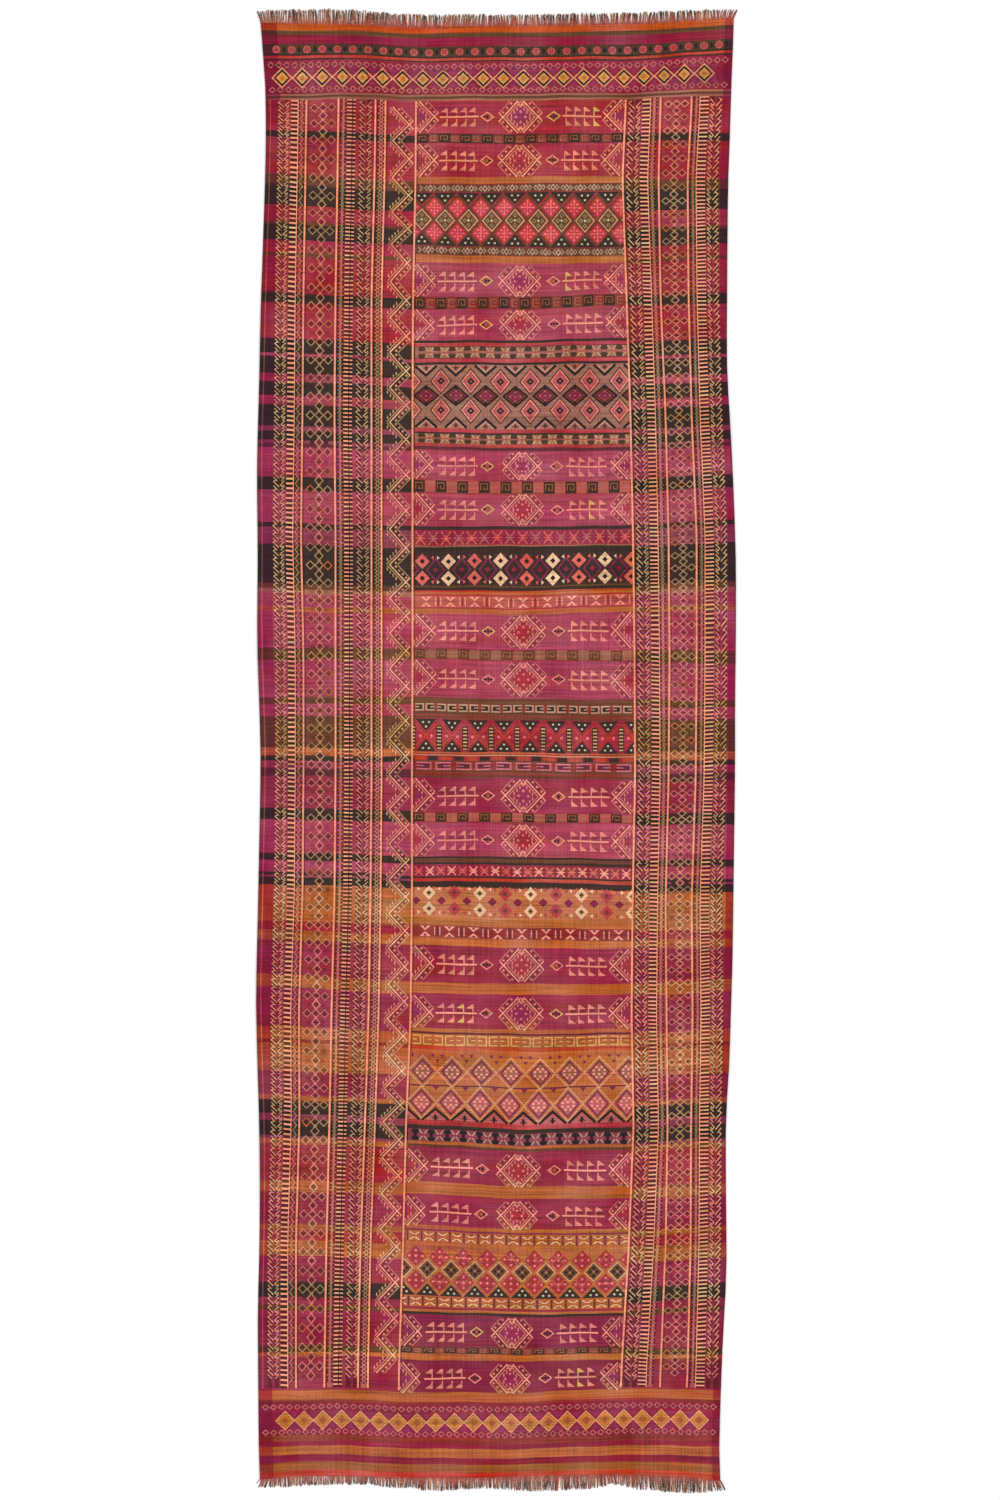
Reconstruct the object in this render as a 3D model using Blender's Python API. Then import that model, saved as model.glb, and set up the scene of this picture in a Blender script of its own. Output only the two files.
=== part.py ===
"""A flat-woven kilim runner, laid flat, with its warp ends cut short as a fringe at both ends.

Metres, +Z up. X runs across the width, Y along the length, and the underside lies at Z = 0.
The origin is the middle of the bounding box, on the underside.
"""

import bisect
import math
import random

import bpy
import bmesh

# Driving dimensions
CLOTH_THICK = 0.003          # weft-faced wool over wool warps
SEAT_GAP = 0.0003            # between the cloth's end and the strip that carries the fringe
STRIP_DEEP = 0.004           # the strip parted from the cloth's end, along Y
STRANDS_PER_END = 150        # locks of warp yarn at each end
STRAND_SHARE = 0.60          # of the pitch that a lock fills at its root
TIP_SHARE = 0.80             # of its root width that a lock keeps at its tip
TIP_THICK = 0.0018           # a lock thins out to this height and still lies level
LENGTH_SCATTER = 0.0035      # how far a lock's tip may fall short or long
SIDE_SCATTER = 0.0012        # how far a tip may wander sideways before it would meet its neighbour
FRINGE_LEAN = 0.0035         # slow swing of whole groups of locks to one side
GROUP_WAVES = 9              # such swings across an end
CORNER_FLARE = 0.012         # how far the outermost locks spread past the corners
FLARE_REACH = 0.10           # share of the half width over which the flare fades out
ROWS = 46                    # steps along the length
COLUMNS = 16                 # steps across the width

# The two long edges, wavy because the weft was pulled in unevenly
EDGE_COLUMNS = ("y", "left", "right")
EDGE_ROWS = (
    (1.850, -0.5900, 0.5950),
    (1.750, -0.5830, 0.5920),
    (1.700, -0.5780, 0.5895),
    (1.550, -0.5750, 0.5850),
    (1.400, -0.5780, 0.5800),
    (1.100, -0.5880, 0.5775),
    (0.950, -0.5910, 0.5780),
    (0.720, -0.5970, 0.5905),
    (0.500, -0.5955, 0.5990),
    (0.280, -0.5965, 0.5995),
    (0.100, -0.5910, 0.5975),
    (-0.025, -0.5885, 0.5975),
    (-0.250, -0.5920, 0.5950),
    (-0.550, -0.5985, 0.5905),
    (-0.625, -0.5995, 0.5880),
    (-0.770, -0.5965, 0.5835),
    (-0.920, -0.5920, 0.5750),
    (-1.080, -0.5900, 0.5750),
    (-1.300, -0.5925, 0.5760),
    (-1.380, -0.5950, 0.5720),
    (-1.520, -0.5945, 0.5650),
    (-1.750, -0.5925, 0.5580),
    (-1.830, -0.5895, 0.5610),
)

# Each end of the cloth, and how far its fringe reaches, at places across the width
END_COLUMNS = ("x", "cloth", "tips")
TOP_END = (
    (-0.600, 1.8215, 1.8550),
    (-0.490, 1.8190, 1.8570),
    (-0.390, 1.8190, 1.8575),
    (-0.310, 1.8165, 1.8530),
    (-0.240, 1.8110, 1.8460),
    (-0.140, 1.8125, 1.8455),
    (-0.015, 1.8150, 1.8450),
    (0.160, 1.8150, 1.8465),
    (0.260, 1.8185, 1.8480),
    (0.385, 1.8215, 1.8500),
    (0.485, 1.8275, 1.8550),
    (0.600, 1.8350, 1.8580),
)
BOTTOM_END = (
    (-0.600, -1.8210, -1.8420),
    (-0.515, -1.8110, -1.8400),
    (-0.390, -1.8090, -1.8340),
    (-0.240, -1.8150, -1.8425),
    (-0.165, -1.8170, -1.8500),
    (-0.015, -1.8165, -1.8450),
    (0.100, -1.8125, -1.8510),
    (0.260, -1.8100, -1.8430),
    (0.295, -1.8100, -1.8355),
    (0.360, -1.8100, -1.8465),
    (0.510, -1.8140, -1.8555),
    (0.600, -1.8240, -1.8400),
)

MATERIALS = {
    "cloth": ((0.42, 0.09, 0.13, 1.0), 0.92, 0.0),
    "warp": ((0.58, 0.47, 0.37, 1.0), 0.88, 0.0),
}


def clear_scene():
    for item in list(bpy.data.objects):
        bpy.data.objects.remove(item, do_unlink=True)


def make_material(name):
    colour, roughness, metallic = MATERIALS[name]
    material = bpy.data.materials.new(name)
    material.use_nodes = True
    shader = material.node_tree.nodes["Principled BSDF"]
    shader.inputs["Base Color"].default_value = colour
    shader.inputs["Roughness"].default_value = roughness
    shader.inputs["Metallic"].default_value = metallic
    return material


def smooth_between(table, column, at):
    """The value of a column where the first column is at, on a smooth curve through the rows."""
    rows = sorted(table)
    places = [row[0] for row in rows]
    i = min(max(bisect.bisect_right(places, at) - 1, 0), len(rows) - 2)
    before, low, high, after = (rows[min(max(k, 0), len(rows) - 1)] for k in (i - 1, i, i + 1, i + 2))
    step = high[0] - low[0]
    t = min(max((at - low[0]) / step, 0.0), 1.0)
    slope_low = (high[column] - before[column]) / (high[0] - before[0]) * step
    slope_high = (after[column] - low[column]) / (after[0] - low[0]) * step
    return (
        (2 * t ** 3 - 3 * t ** 2 + 1) * low[column]
        + (t ** 3 - 2 * t ** 2 + t) * slope_low
        + (3 * t ** 2 - 2 * t ** 3) * high[column]
        + (t ** 3 - t ** 2) * slope_high
    )


def side_at(name, y):
    return smooth_between(EDGE_ROWS, EDGE_COLUMNS.index(name), y)


def end_at(end, name, x):
    return smooth_between(end, END_COLUMNS.index(name), x)


def cloth_point(across, along):
    """A place on the cloth: across runs 0 to 1 from left to right, along 0 to 1 from bottom to top."""
    straight_x = (across - 0.5) * 2 * 0.59
    low = end_at(BOTTOM_END, "cloth", straight_x)
    high = end_at(TOP_END, "cloth", straight_x)
    y = low + (high - low) * along
    left, right = side_at("left", y), side_at("right", y)
    return left + (right - left) * across, y


def rim_point(across, along):
    """The same place, on the straight run between the two columns of the cloth that it lies between."""
    column = min(int(across * COLUMNS), COLUMNS - 1)
    share = across * COLUMNS - column
    before, after = cloth_point(column / COLUMNS, along), cloth_point((column + 1) / COLUMNS, along)
    return tuple(a + (b - a) * share for a, b in zip(before, after))


def add_object(name, bm, material):
    bmesh.ops.recalc_face_normals(bm, faces=bm.faces)
    mesh = bpy.data.meshes.new(name)
    bm.to_mesh(mesh)
    bm.free()
    mesh.materials.append(material)
    item = bpy.data.objects.new(name, mesh)
    bpy.context.collection.objects.link(item)
    return item


def build_cloth(material):
    """One slab, selvedges and woven end bands included, flat above and below."""
    bm = bmesh.new()
    bmesh.ops.create_grid(bm, x_segments=COLUMNS, y_segments=ROWS, size=0.5)
    for v in bm.verts:
        v.co.x, v.co.y = cloth_point(v.co.x + 0.5, v.co.y + 0.5)
    under = list(bm.faces)
    raised = bmesh.ops.extrude_face_region(bm, geom=under, use_keep_orig=True)
    top = [item for item in raised["geom"] if isinstance(item, bmesh.types.BMVert)]
    bmesh.ops.translate(bm, verts=top, vec=(0.0, 0.0, CLOTH_THICK))
    return add_object("cloth", bm, material)


def strand_tip(end, root_x, half_width, outward, rng):
    """Where a lock's tip lies: leaning with its group, flaring near a corner, uneven in length."""
    share = root_x / half_width
    swing = math.sin(GROUP_WAVES * math.pi * share + 1.3 * outward) * FRINGE_LEAN
    near_corner = max(0.0, (abs(share) - (1.0 - FLARE_REACH)) / FLARE_REACH)
    flare = math.copysign(CORNER_FLARE * near_corner ** 2, share)
    side = swing * (1.0 - near_corner) + flare + rng.uniform(-SIDE_SCATTER, SIDE_SCATTER)
    reach = end_at(end, "tips", root_x) - outward * rng.uniform(0.0, LENGTH_SCATTER)
    return root_x + side, reach


def build_fringe(name, end, outward, seed, material):
    """A narrow strip along the cloth's end, with locks drawn out of its outer side."""
    rng = random.Random(seed)
    last = 2 * STRANDS_PER_END - 1
    widen = (STRAND_SHARE - 0.5) / last
    along = 1.0 if outward > 0 else 0.0
    bm = bmesh.new()
    columns = []
    for i in range(last + 1):
        shift = widen if i % 2 else -widen
        x, y = rim_point(min(max(i / last + shift, 0.0), 1.0), along)
        inner_y = y + outward * SEAT_GAP
        outer_y = inner_y + outward * STRIP_DEEP
        corners = ((inner_y, 0.0), (outer_y, 0.0), (outer_y, CLOTH_THICK), (inner_y, CLOTH_THICK))
        columns.append([bm.verts.new((x, side_y, z)) for side_y, z in corners])
    bm.faces.new(columns[0])
    bm.faces.new(columns[-1])
    roots = []
    for i, (left, right) in enumerate(zip(columns, columns[1:])):
        for k in range(4):
            face = bm.faces.new((left[k], right[k], right[(k + 1) % 4], left[(k + 1) % 4]))
            if k == 1 and i % 2 == 0:
                roots.append(face)
    half_width = (columns[-1][0].co.x - columns[0][0].co.x) / 2
    for root in roots:
        draw_out_strand(bm, root, end, half_width, outward, rng)
    return add_object(name, bm, material)


def draw_out_strand(bm, root, end, half_width, outward, rng):
    """Extrude one lock in two lengths, narrowing and thinning, with its underside kept level."""
    root_x = root.calc_center_median().x
    root_y = root.calc_center_median().y
    root_wide = max(v.co.x for v in root.verts) - min(v.co.x for v in root.verts)
    tip_x, tip_y = strand_tip(end, root_x, half_width, outward, rng)
    face = root
    for reach, wide_share, lean in ((0.45, 1.0, 0.30), (1.0, TIP_SHARE, 1.0)):
        grown = bmesh.ops.extrude_discrete_faces(bm, faces=[face])["faces"][0]
        middle = grown.calc_center_median().x
        wide_now = max(v.co.x for v in grown.verts) - min(v.co.x for v in grown.verts)
        centre = root_x + (tip_x - root_x) * lean
        place_y = root_y + (tip_y - root_y) * reach
        height = CLOTH_THICK + (TIP_THICK - CLOTH_THICK) * reach
        for v in grown.verts:
            v.co.x = centre + (v.co.x - middle) * root_wide * wide_share / wide_now
            v.co.y = place_y
            v.co.z = height if v.co.z > CLOTH_THICK / 4 else 0.0
        face = grown


def centre_on_box(items):
    """Move every mesh so that the bounding box's middle is over the origin."""
    points = [v.co for item in items for v in item.data.vertices]
    middle_x = (min(p.x for p in points) + max(p.x for p in points)) / 2
    middle_y = (min(p.y for p in points) + max(p.y for p in points)) / 2
    for item in items:
        for v in item.data.vertices:
            v.co.x -= middle_x
            v.co.y -= middle_y


def main():
    clear_scene()
    warp = make_material("warp")
    items = [
        build_cloth(make_material("cloth")),
        build_fringe("top_fringe", TOP_END, 1, 11, warp),
        build_fringe("bottom_fringe", BOTTOM_END, -1, 23, warp),
    ]
    centre_on_box(items)


main()
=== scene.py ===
import math
import random

import bmesh
import bpy
import numpy as np
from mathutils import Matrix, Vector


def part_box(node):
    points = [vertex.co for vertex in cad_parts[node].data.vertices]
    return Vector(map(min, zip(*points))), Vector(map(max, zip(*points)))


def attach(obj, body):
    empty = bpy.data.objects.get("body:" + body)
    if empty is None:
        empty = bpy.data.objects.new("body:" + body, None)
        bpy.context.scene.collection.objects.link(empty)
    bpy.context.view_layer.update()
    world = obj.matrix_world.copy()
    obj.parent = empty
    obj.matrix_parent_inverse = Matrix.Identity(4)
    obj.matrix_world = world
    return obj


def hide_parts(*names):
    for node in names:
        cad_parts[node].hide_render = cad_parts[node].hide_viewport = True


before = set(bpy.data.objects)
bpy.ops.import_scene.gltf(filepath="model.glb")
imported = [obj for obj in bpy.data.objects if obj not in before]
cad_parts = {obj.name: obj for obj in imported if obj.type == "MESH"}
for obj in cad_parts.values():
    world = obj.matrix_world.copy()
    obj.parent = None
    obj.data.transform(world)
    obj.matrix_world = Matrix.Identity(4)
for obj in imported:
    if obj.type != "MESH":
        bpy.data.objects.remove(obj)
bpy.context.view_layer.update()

# The pattern is charted in stitches: u counts across to the right, v counts down from the top end.
chart = {
    "stitch": 0.0025,       # metres
    "middleU": 495.5,       # the stitch that lies over the origin
    "middleV": 751.0,
    "plumbU": 522.0,        # here a weft lies just where its v says, elsewhere it bows
    "topV": 24.5,           # first and last weft
    "bottomV": 1477.0,
    "figureTop": 100.5,     # the long columns of figures run between these
    "figureBottom": 1392.0,
}

# Yarns, as sRGB
yarns = {
    "crimson": (156, 44, 56),
    "plum": (144, 40, 62),
    "rose": (162, 61, 81),
    "dustyRose": (138, 60, 76),
    "wine": (95, 36, 48),
    "night": (54, 37, 31),
    "coal": (34, 26, 25),
    "brown": (102, 58, 38),
    "olive": (94, 60, 34),
    "ochre": (172, 92, 48),
    "amber": (178, 94, 50),
    "tan": (152, 94, 72),
    "apricot": (184, 106, 70),
    "rust": (136, 50, 40),
    "orange": (184, 76, 24),
    "ember": (176, 62, 40),
    "magenta": (136, 30, 54),
    "peach": (238, 152, 114),
    "cream": (226, 182, 142),
    "sand": (198, 152, 104),
    "moss": (146, 124, 84),
    "mint": (190, 186, 150),
    "coral": (206, 94, 80),
    "blossom": (236, 148, 126),
    "scarlet": (176, 60, 66),
    "beige": (150, 100, 84),
    "petal": (178, 94, 90),
    "moorit": (72, 50, 34),
    "honey": (212, 150, 102),
    "heather": (140, 42, 78),
    "oak": (150, 84, 42),
    "mulberry": (128, 34, 58),
    "brick": (178, 80, 72),
    "pink": (224, 110, 108),
    "ruby": (188, 52, 62),
    "orchid": (196, 104, 118),
    "purple": (116, 36, 66),
    "gold": (190, 126, 48),
    "straw": (208, 160, 92),
    "wheat": (218, 170, 118),
    "ivory": (216, 204, 186),
    "grey": (128, 118, 112),
    "fawn": (176, 146, 118),
    "walnut": (96, 72, 58),
}


def linear(name):
    return [(c / 255 / 12.92) if c < 10.3 else ((c / 255 + 0.055) / 1.055) ** 2.4 for c in yarns[name]]


yarnColours = {name: np.array(linear(name)) for name in yarns}

# The warp wise guide lines wander with the loom's tension: where each lies at some wefts, in stitches
guideColumns = ("v", "w1", "w2", "w3", "w5", "r1", "r2", "r3")
guideRows = (
    (22, 306, 339, 376, 417, 627, 661, 692),
    (110, 306, 338, 375, 415.5, 625, 660, 691),
    (180, 305, 337, 374, 415, 622, 658, 687),
    (300, 303, 335, 371, 412.5, 626, 660, 688),
    (420, 302, 334, 371, 412, 630, 665, 691),
    (540, 300.5, 335, 371, 412, 632.5, 668, 696),
    (660, 303, 335, 371, 412, 634, 669, 696),
    (780, 303, 335, 371, 411.5, 634.5, 668, 695),
    (900, 302, 334, 370, 411.5, 632, 665, 691),
    (1020, 298.5, 331, 368, 410, 631, 666, 692),
    (1130, 299, 329, 364.5, 405.5, 633, 667, 690.5),
    (1250, 295.5, 326, 360, 402.5, 628, 665, 690),
    (1370, 295.5, 324, 357.5, 398.5, 621, 660, 687),
    (1478, 296, 323, 357, 398, 618, 657, 683),
)

# How far each weft bows down (+) or up (-) at some places across, in stitches
bowColumns = ("v", 268, 340, 412, 522, 628, 695, 724)
bowRows = (
    (25, -1, -3, 1, 0, 0, -3, -5),
    (58, -1, -3, 1, 0, -1, -5, -7),
    (95, 1, -1, 1, 0, -1, -4, -5),
    (144, -8, -5, -1, 0, -2, -4, -3),
    (191, -8, -2, 1, 0, -1, -2, -2),
    (248, -9, -6, -3, 0, 0, -4, -4),
    (300, -7, -3, 0, 0, -4, -6, -6),
    (362, -7, -5, 0, 0, -2, -5, -6),
    (440, -7, -4, -2, 0, -1, -5, -7),
    (495, -5, -3, -2, 0, -1, -7, -7),
    (548, -4, -1, 1, 0, -1, -4, -6),
    (612, -6, -3, -2, 0, -4, -6, -7),
    (655, -2, -2, -2, 0, 0, 2, 2),
    (715, -2, -2, -2, 0, 1, 2, 1),
    (772, -3, -2, -1, 0, 2, 2, 2),
    (825, -5, -4, -1, 0, 1, 0, 0),
    (880, -5, -4, -1, 0, 3, 2, 2),
    (928, -9, -6, -4, 0, 1, 2, 1),
    (984, -11, -6, -2, 0, 0, -3, -5),
    (1040, -10, -8, -3, 0, -2, -6, -7),
    (1088, -9, -6, -4, 0, -3, -6, -7),
    (1128, -12, -10, -6, 0, -3, -8, -9),
    (1195, -10, -8, -6, 0, -1, -5, -6),
    (1300, -8, -7, -4, 0, -1, -6, -7),
    (1358, -3, -5, -2, 0, -2, -1, -1),
    (1400, -2, -3, 0, 0, -5, -3, -3),
    (1457, -3, -4, -1, 0, -4, -3, -3),
    (1474, 2, -1, 1, 0, -1, 1, 3),
)

everyV = np.arange(0.0, 1501.0)


def eased(places, values, reach=21):
    # a line through the rows with its corners rounded off, at every weft
    straight = np.interp(everyV, places, values)
    padded = np.pad(straight, reach, mode="edge")
    window = np.hanning(2 * reach + 1)
    return np.convolve(padded, window / window.sum(), mode="valid")


guides = {
    name: eased([row[0] for row in guideRows], [row[k] for row in guideRows])
    for k, name in enumerate(guideColumns) if k
}
guides["w4"] = guides["w3"] + 10
bows = [eased([row[0] for row in bowRows], [row[k] for row in bowRows], 11) for k in range(1, len(bowColumns))]


def guide(name, v):
    return np.interp(v, everyV, guides[name])


def outlineOfCloth():
    # the woven edges and ends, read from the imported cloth
    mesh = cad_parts["cloth"].data
    spots = sorted({(round(p.co.x, 5), round(p.co.y, 5)) for p in mesh.vertices})
    low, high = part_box("cloth")
    nearSide = 0.07
    nearEnd = 0.045

    def line(keep, key):
        rows = sorted({(p[key], p[1 - key]) for p in spots if keep(p)})
        return np.array([r[0] for r in rows]), np.array([r[1] for r in rows])

    return {
        "left": line(lambda p: p[0] < low[0] + nearSide, 1),
        "right": line(lambda p: p[0] > high[0] - nearSide, 1),
        "top": line(lambda p: p[1] > high[1] - nearEnd, 0),
        "bottom": line(lambda p: p[1] < low[1] + nearEnd, 0),
    }


outline = outlineOfCloth()


def onCloth(u, v):
    # where a chart place lies on the floor plan, in metres
    u, v = np.asarray(u, float), np.asarray(v, float)
    stitch = chart["stitch"]
    columns = [np.interp(v, everyV, bow) for bow in bows]
    bow = columns[0].copy()
    for k in range(len(bows) - 1):
        first, last = bowColumns[k + 1], bowColumns[k + 2]
        bow += np.clip((u - first) / (last - first), 0, 1) * (columns[k + 1] - columns[k])
    wander = 0.32 * np.sin(u / 17.0 + v / 41.0) + 0.22 * np.sin(u / 7.3 - v / 19.0 + 2.0)
    x = (u - chart["middleU"]) * stitch
    y = (chart["middleV"] - v - bow - wander) * stitch
    for end, at, way in (("top", chart["topV"], 1.0), ("bottom", chart["bottomV"], -1.0)):
        fade = np.clip(1 - way * (v - at) / 34.0, 0, 1)
        bowThere = np.zeros_like(u)
        starts = [np.interp(at, everyV, b) for b in bows]
        bowThere += starts[0]
        for k in range(len(bows) - 1):
            first, last = bowColumns[k + 1], bowColumns[k + 2]
            bowThere += np.clip((u - first) / (last - first), 0, 1) * (starts[k + 1] - starts[k])
        wanderThere = 0.32 * np.sin(u / 17.0 + at / 41.0) + 0.22 * np.sin(u / 7.3 - at / 19.0 + 2.0)
        drawn = np.interp(x, *outline[end]) - (chart["middleV"] - at - bowThere - wanderThere) * stitch
        y = y + fade * drawn
    return x, y


surface = {"thick": 0.0022, "wave": 0.0005, "edgeWave": 0.0009}


def heightAt(x, y):
    # the upper face: nearly level, with slack ripples that grow towards the long edges
    slack = np.clip(np.abs(x) / 0.6, 0, 1) ** 3
    ripple = np.sin(y * 9.1 + x * 2.3) * 0.5 + np.sin(y * 4.3 - x * 6.1 + 1.0) * 0.5
    curl = np.sin(y * 15.0 + np.sign(x) * 1.7) * 0.6 + np.sin(y * 6.7 + 0.6) * 0.4
    return surface["thick"] + surface["wave"] * (1 + ripple) + surface["edgeWave"] * slack * (1 + curl)


def sideU(name, v):
    # an edge of the cloth, in stitches
    y = (chart["middleV"] - np.asarray(v, float)) * chart["stitch"]
    return chart["middleU"] + np.interp(y, *outline[name]) / chart["stitch"]


# Weft stripes: each row is the weft where a yarn starts
stripeColumns = ("v", "yarn")
topBands = (
    (24.5, "orange"), (31.8, "olive"), (36.4, "magenta"), (45.8, "moorit"), (56.2, "coal"), (57.4, "ember"), (60.2, "night"),
    (61.6, "magenta"), (94.0, "tan"), (96.0, "brown"), (98.5, "tan"),
)
bottomBands = (
    (1392.5, "ochre"), (1396.0, "amber"), (1402.0, "rust"), (1404.6, "magenta"), (1438.0, "rust"),
    (1444.2, "magenta"), (1449.0, "ochre"), (1458.0, "magenta"), (1464.3, "oak"), (1471.5, "ember"),
)
sideStripes = (
    (100.5, "crimson"), (136.5, "night"), (144, "crimson"), (181, "brown"), (191, "night"), (212, "crimson"),
    (229, "brown"), (232, "night"), (248, "crimson"), (260, "brown"), (264, "crimson"), (299, "night"),
    (310, "crimson"), (345, "night"), (359.5, "rose"), (363, "night"), (380, "rose"), (388, "night"),
    (402, "rose"), (411, "night"), (432, "dustyRose"), (437, "night"), (446, "dustyRose"), (449, "wine"),
    (453, "rose"), (481.5, "night"), (495, "rose"), (526.5, "night"), (531, "dustyRose"), (548, "night"),
    (588, "brown"), (593, "tan"), (598, "rose"), (611, "ochre"), (616, "rose"), (650, "brown"),
    (662, "rose"), (699, "brown"), (706, "rose"), (718, "brown"), (750, "amber"), (758, "night"),
    (763.5, "rose"), (771, "wine"), (779, "plum"), (812, "night"), (824, "rose"), (858, "night"),
    (865, "rose"), (877, "night"), (880, "dustyRose"), (882, "night"), (890, "ochre"), (929, "crimson"),
    (938, "ochre"), (948, "plum"), (984, "ochre"), (997, "plum"), (1036, "amber"), (1048.5, "rust"),
    (1052, "amber"), (1079, "plum"), (1105, "amber"), (1110, "night"), (1125, "dustyRose"), (1132, "night"),
    (1146, "dustyRose"), (1149, "amber"), (1154, "crimson"), (1189.5, "ochre"), (1201, "plum"),
    (1232, "ochre"), (1238, "crimson"), (1249, "ochre"), (1264, "plum"), (1289, "night"), (1304, "plum"),
    (1312, "brown"), (1316, "plum"), (1350, "olive"), (1356, "amber"), (1360, "plum"),
)
fieldStripes = (
    (100.5, "crimson"), (134.5, "night"), (144, "crimson"), (177, "ochre"), (183.5, "rust"), (192, "crimson"),
    (248, "brown"), (256.5, "ochre"), (264, "rose"), (297, "rust"), (309.6, "rose"), (340.5, "night"),
    (343, "scarlet"), (346.5, "night"), (358.6, "scarlet"), (362.6, "night"), (365, "beige"),
    (430, "scarlet"), (433.6, "night"), (435.4, "tan"), (445, "scarlet"), (448, "wine"), (451.5, "rose"), (481.5, "rust"),
    (494.5, "rose"), (527, "night"), (530, "plum"), (545, "tan"), (546.4, "night"), (548, "night"),
    (586, "olive"), (588.4, "night"), (591, "ember"), (593.4, "amber"), (595.4, "crimson"), (597, "brick"),
    (608.6, "crimson"), (609.8, "amber"), (615, "rose"), (650, "rust"), (661, "rose"), (699.2, "brown"),
    (705, "rust"), (713, "brown"), (716, "rust"), (718, "brown"), (720, "crimson"), (761, "brown"),
    (762.4, "rust"), (770.7, "brown"), (773, "rust"), (776, "brown"), (778, "plum"), (812.8, "rust"),
    (822.8, "rose"), (857, "night"), (859, "brown"), (862.8, "night"), (865.6, "plum"), (877, "night"),
    (878.6, "ember"), (882.5, "night"), (888.4, "apricot"), (920, "ochre"), (928, "rust"), (940, "amber"),
    (948.5, "plum"), (984, "amber"), (995, "plum"), (1030, "ochre"), (1034, "wine"), (1036, "ochre"),
    (1048, "ember"), (1051.5, "amber"), (1124.6, "scarlet"), (1129.6, "night"), (1133.4, "wine"),
    (1146.4, "ochre"), (1149, "brown"), (1151.6, "plum"), (1186.6, "ochre"), (1199, "plum"),
    (1229.6, "ochre"), (1233.4, "purple"), (1235, "ochre"), (1251, "ochre"), (1260, "ochre"), (1299, "ochre"), (1309.4, "plum"),
    (1312, "ochre"), (1314.4, "night"), (1317, "mulberry"), (1348.4, "olive"), (1355, "amber"), (1361.4, "mulberry"),
)


def stripeTable(stripes):
    rows = topBands + stripes + bottomBands
    return np.array([row[0] for row in rows]), [row[1] for row in rows]


sideTable = stripeTable(sideStripes)
fieldTable = stripeTable(fieldStripes)


def stripeAt(table, v):
    return table[1][max(0, int(np.searchsorted(table[0], v, side="right")) - 1)]


# The lighter yarn that figures are laid in over each ground, where it isn't peach
lightOver = {
    "night": "wheat", "wine": "sand", "mulberry": "blossom", "brick": "blossom", "brown": "straw", "olive": "straw", "ochre": "cream", "amber": "cream",
    "tan": "cream", "rose": "blossom", "dustyRose": "blossom", "plum": "blossom",
}


def laidOver(table, v, share):
    # a ground colour, lightened towards its figure yarn by a share of 0 to 1, or darkened by a negative one: some
    # figures use that for painted shade in the gaps between their strokes, others for dark yarn
    ground = stripeAt(table, v)
    if share < 0:
        return yarnColours[ground] * (1 + share)
    return yarnColours[ground] * (1 - share) + yarnColours[lightOver.get(ground, "peach")] * share


class Value:
    def __init__(self, finish, socket):
        self.finish = finish
        self.socket = socket

    def work(self, operation, *others):
        return self.finish.node("ShaderNodeMath", {"operation": operation}, dict(enumerate((self,) + others)))

    def __add__(self, other):
        return self.work("ADD", other)

    def __sub__(self, other):
        return self.work("SUBTRACT", other)

    def __mul__(self, other):
        return self.work("MULTIPLY", other)

    def __rsub__(self, other):
        return self.finish.node("ShaderNodeMath", {"operation": "SUBTRACT"}, {0: other, 1: self})

    __radd__ = __add__
    __rmul__ = __mul__


class Finish:
    def __init__(self, name):
        self.material = bpy.data.materials.new(name)
        self.material.use_nodes = True
        self.tree = self.material.node_tree
        self.shader = self.tree.nodes["Principled BSDF"]

    def node(self, kind, settings=None, sockets=None, output=0):
        made = self.tree.nodes.new(kind)
        for name, value in (settings or {}).items():
            setattr(made, name, value)
        for name, value in (sockets or {}).items():
            self.feed(made.inputs[name], value)
        return Value(self, made.outputs[output])

    def feed(self, socket, value):
        if isinstance(value, Value):
            self.tree.links.new(value.socket, socket)
        else:
            socket.default_value = value

    def blend(self, how, factor, first, second):
        settings = {"data_type": "RGBA", "blend_type": how}
        return self.node("ShaderNodeMix", settings, {0: factor, 6: first, 7: second}, 2)

    def places(self):
        return self.node("ShaderNodeTexCoord", output="Object")

    def split(self):
        places = self.places()
        return [self.node("ShaderNodeSeparateXYZ", sockets={0: places}, output=k) for k in range(3)]

    def noise(self, places, scale, detail=2.0):
        places = self.node("ShaderNodeMapping", sockets={"Vector": places, "Scale": scale})
        return self.node("ShaderNodeTexNoise", sockets={"Vector": places, "Scale": 1.0, "Detail": detail}) - 0.5


wool = {
    "roughness": 0.92,
    "sheen": 0.12,
    "ribPitch": 0.0026,     # warp to warp
    "pickPitch": 0.0011,    # weft to weft
    "ribDepth": 0.00022,
}


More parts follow.
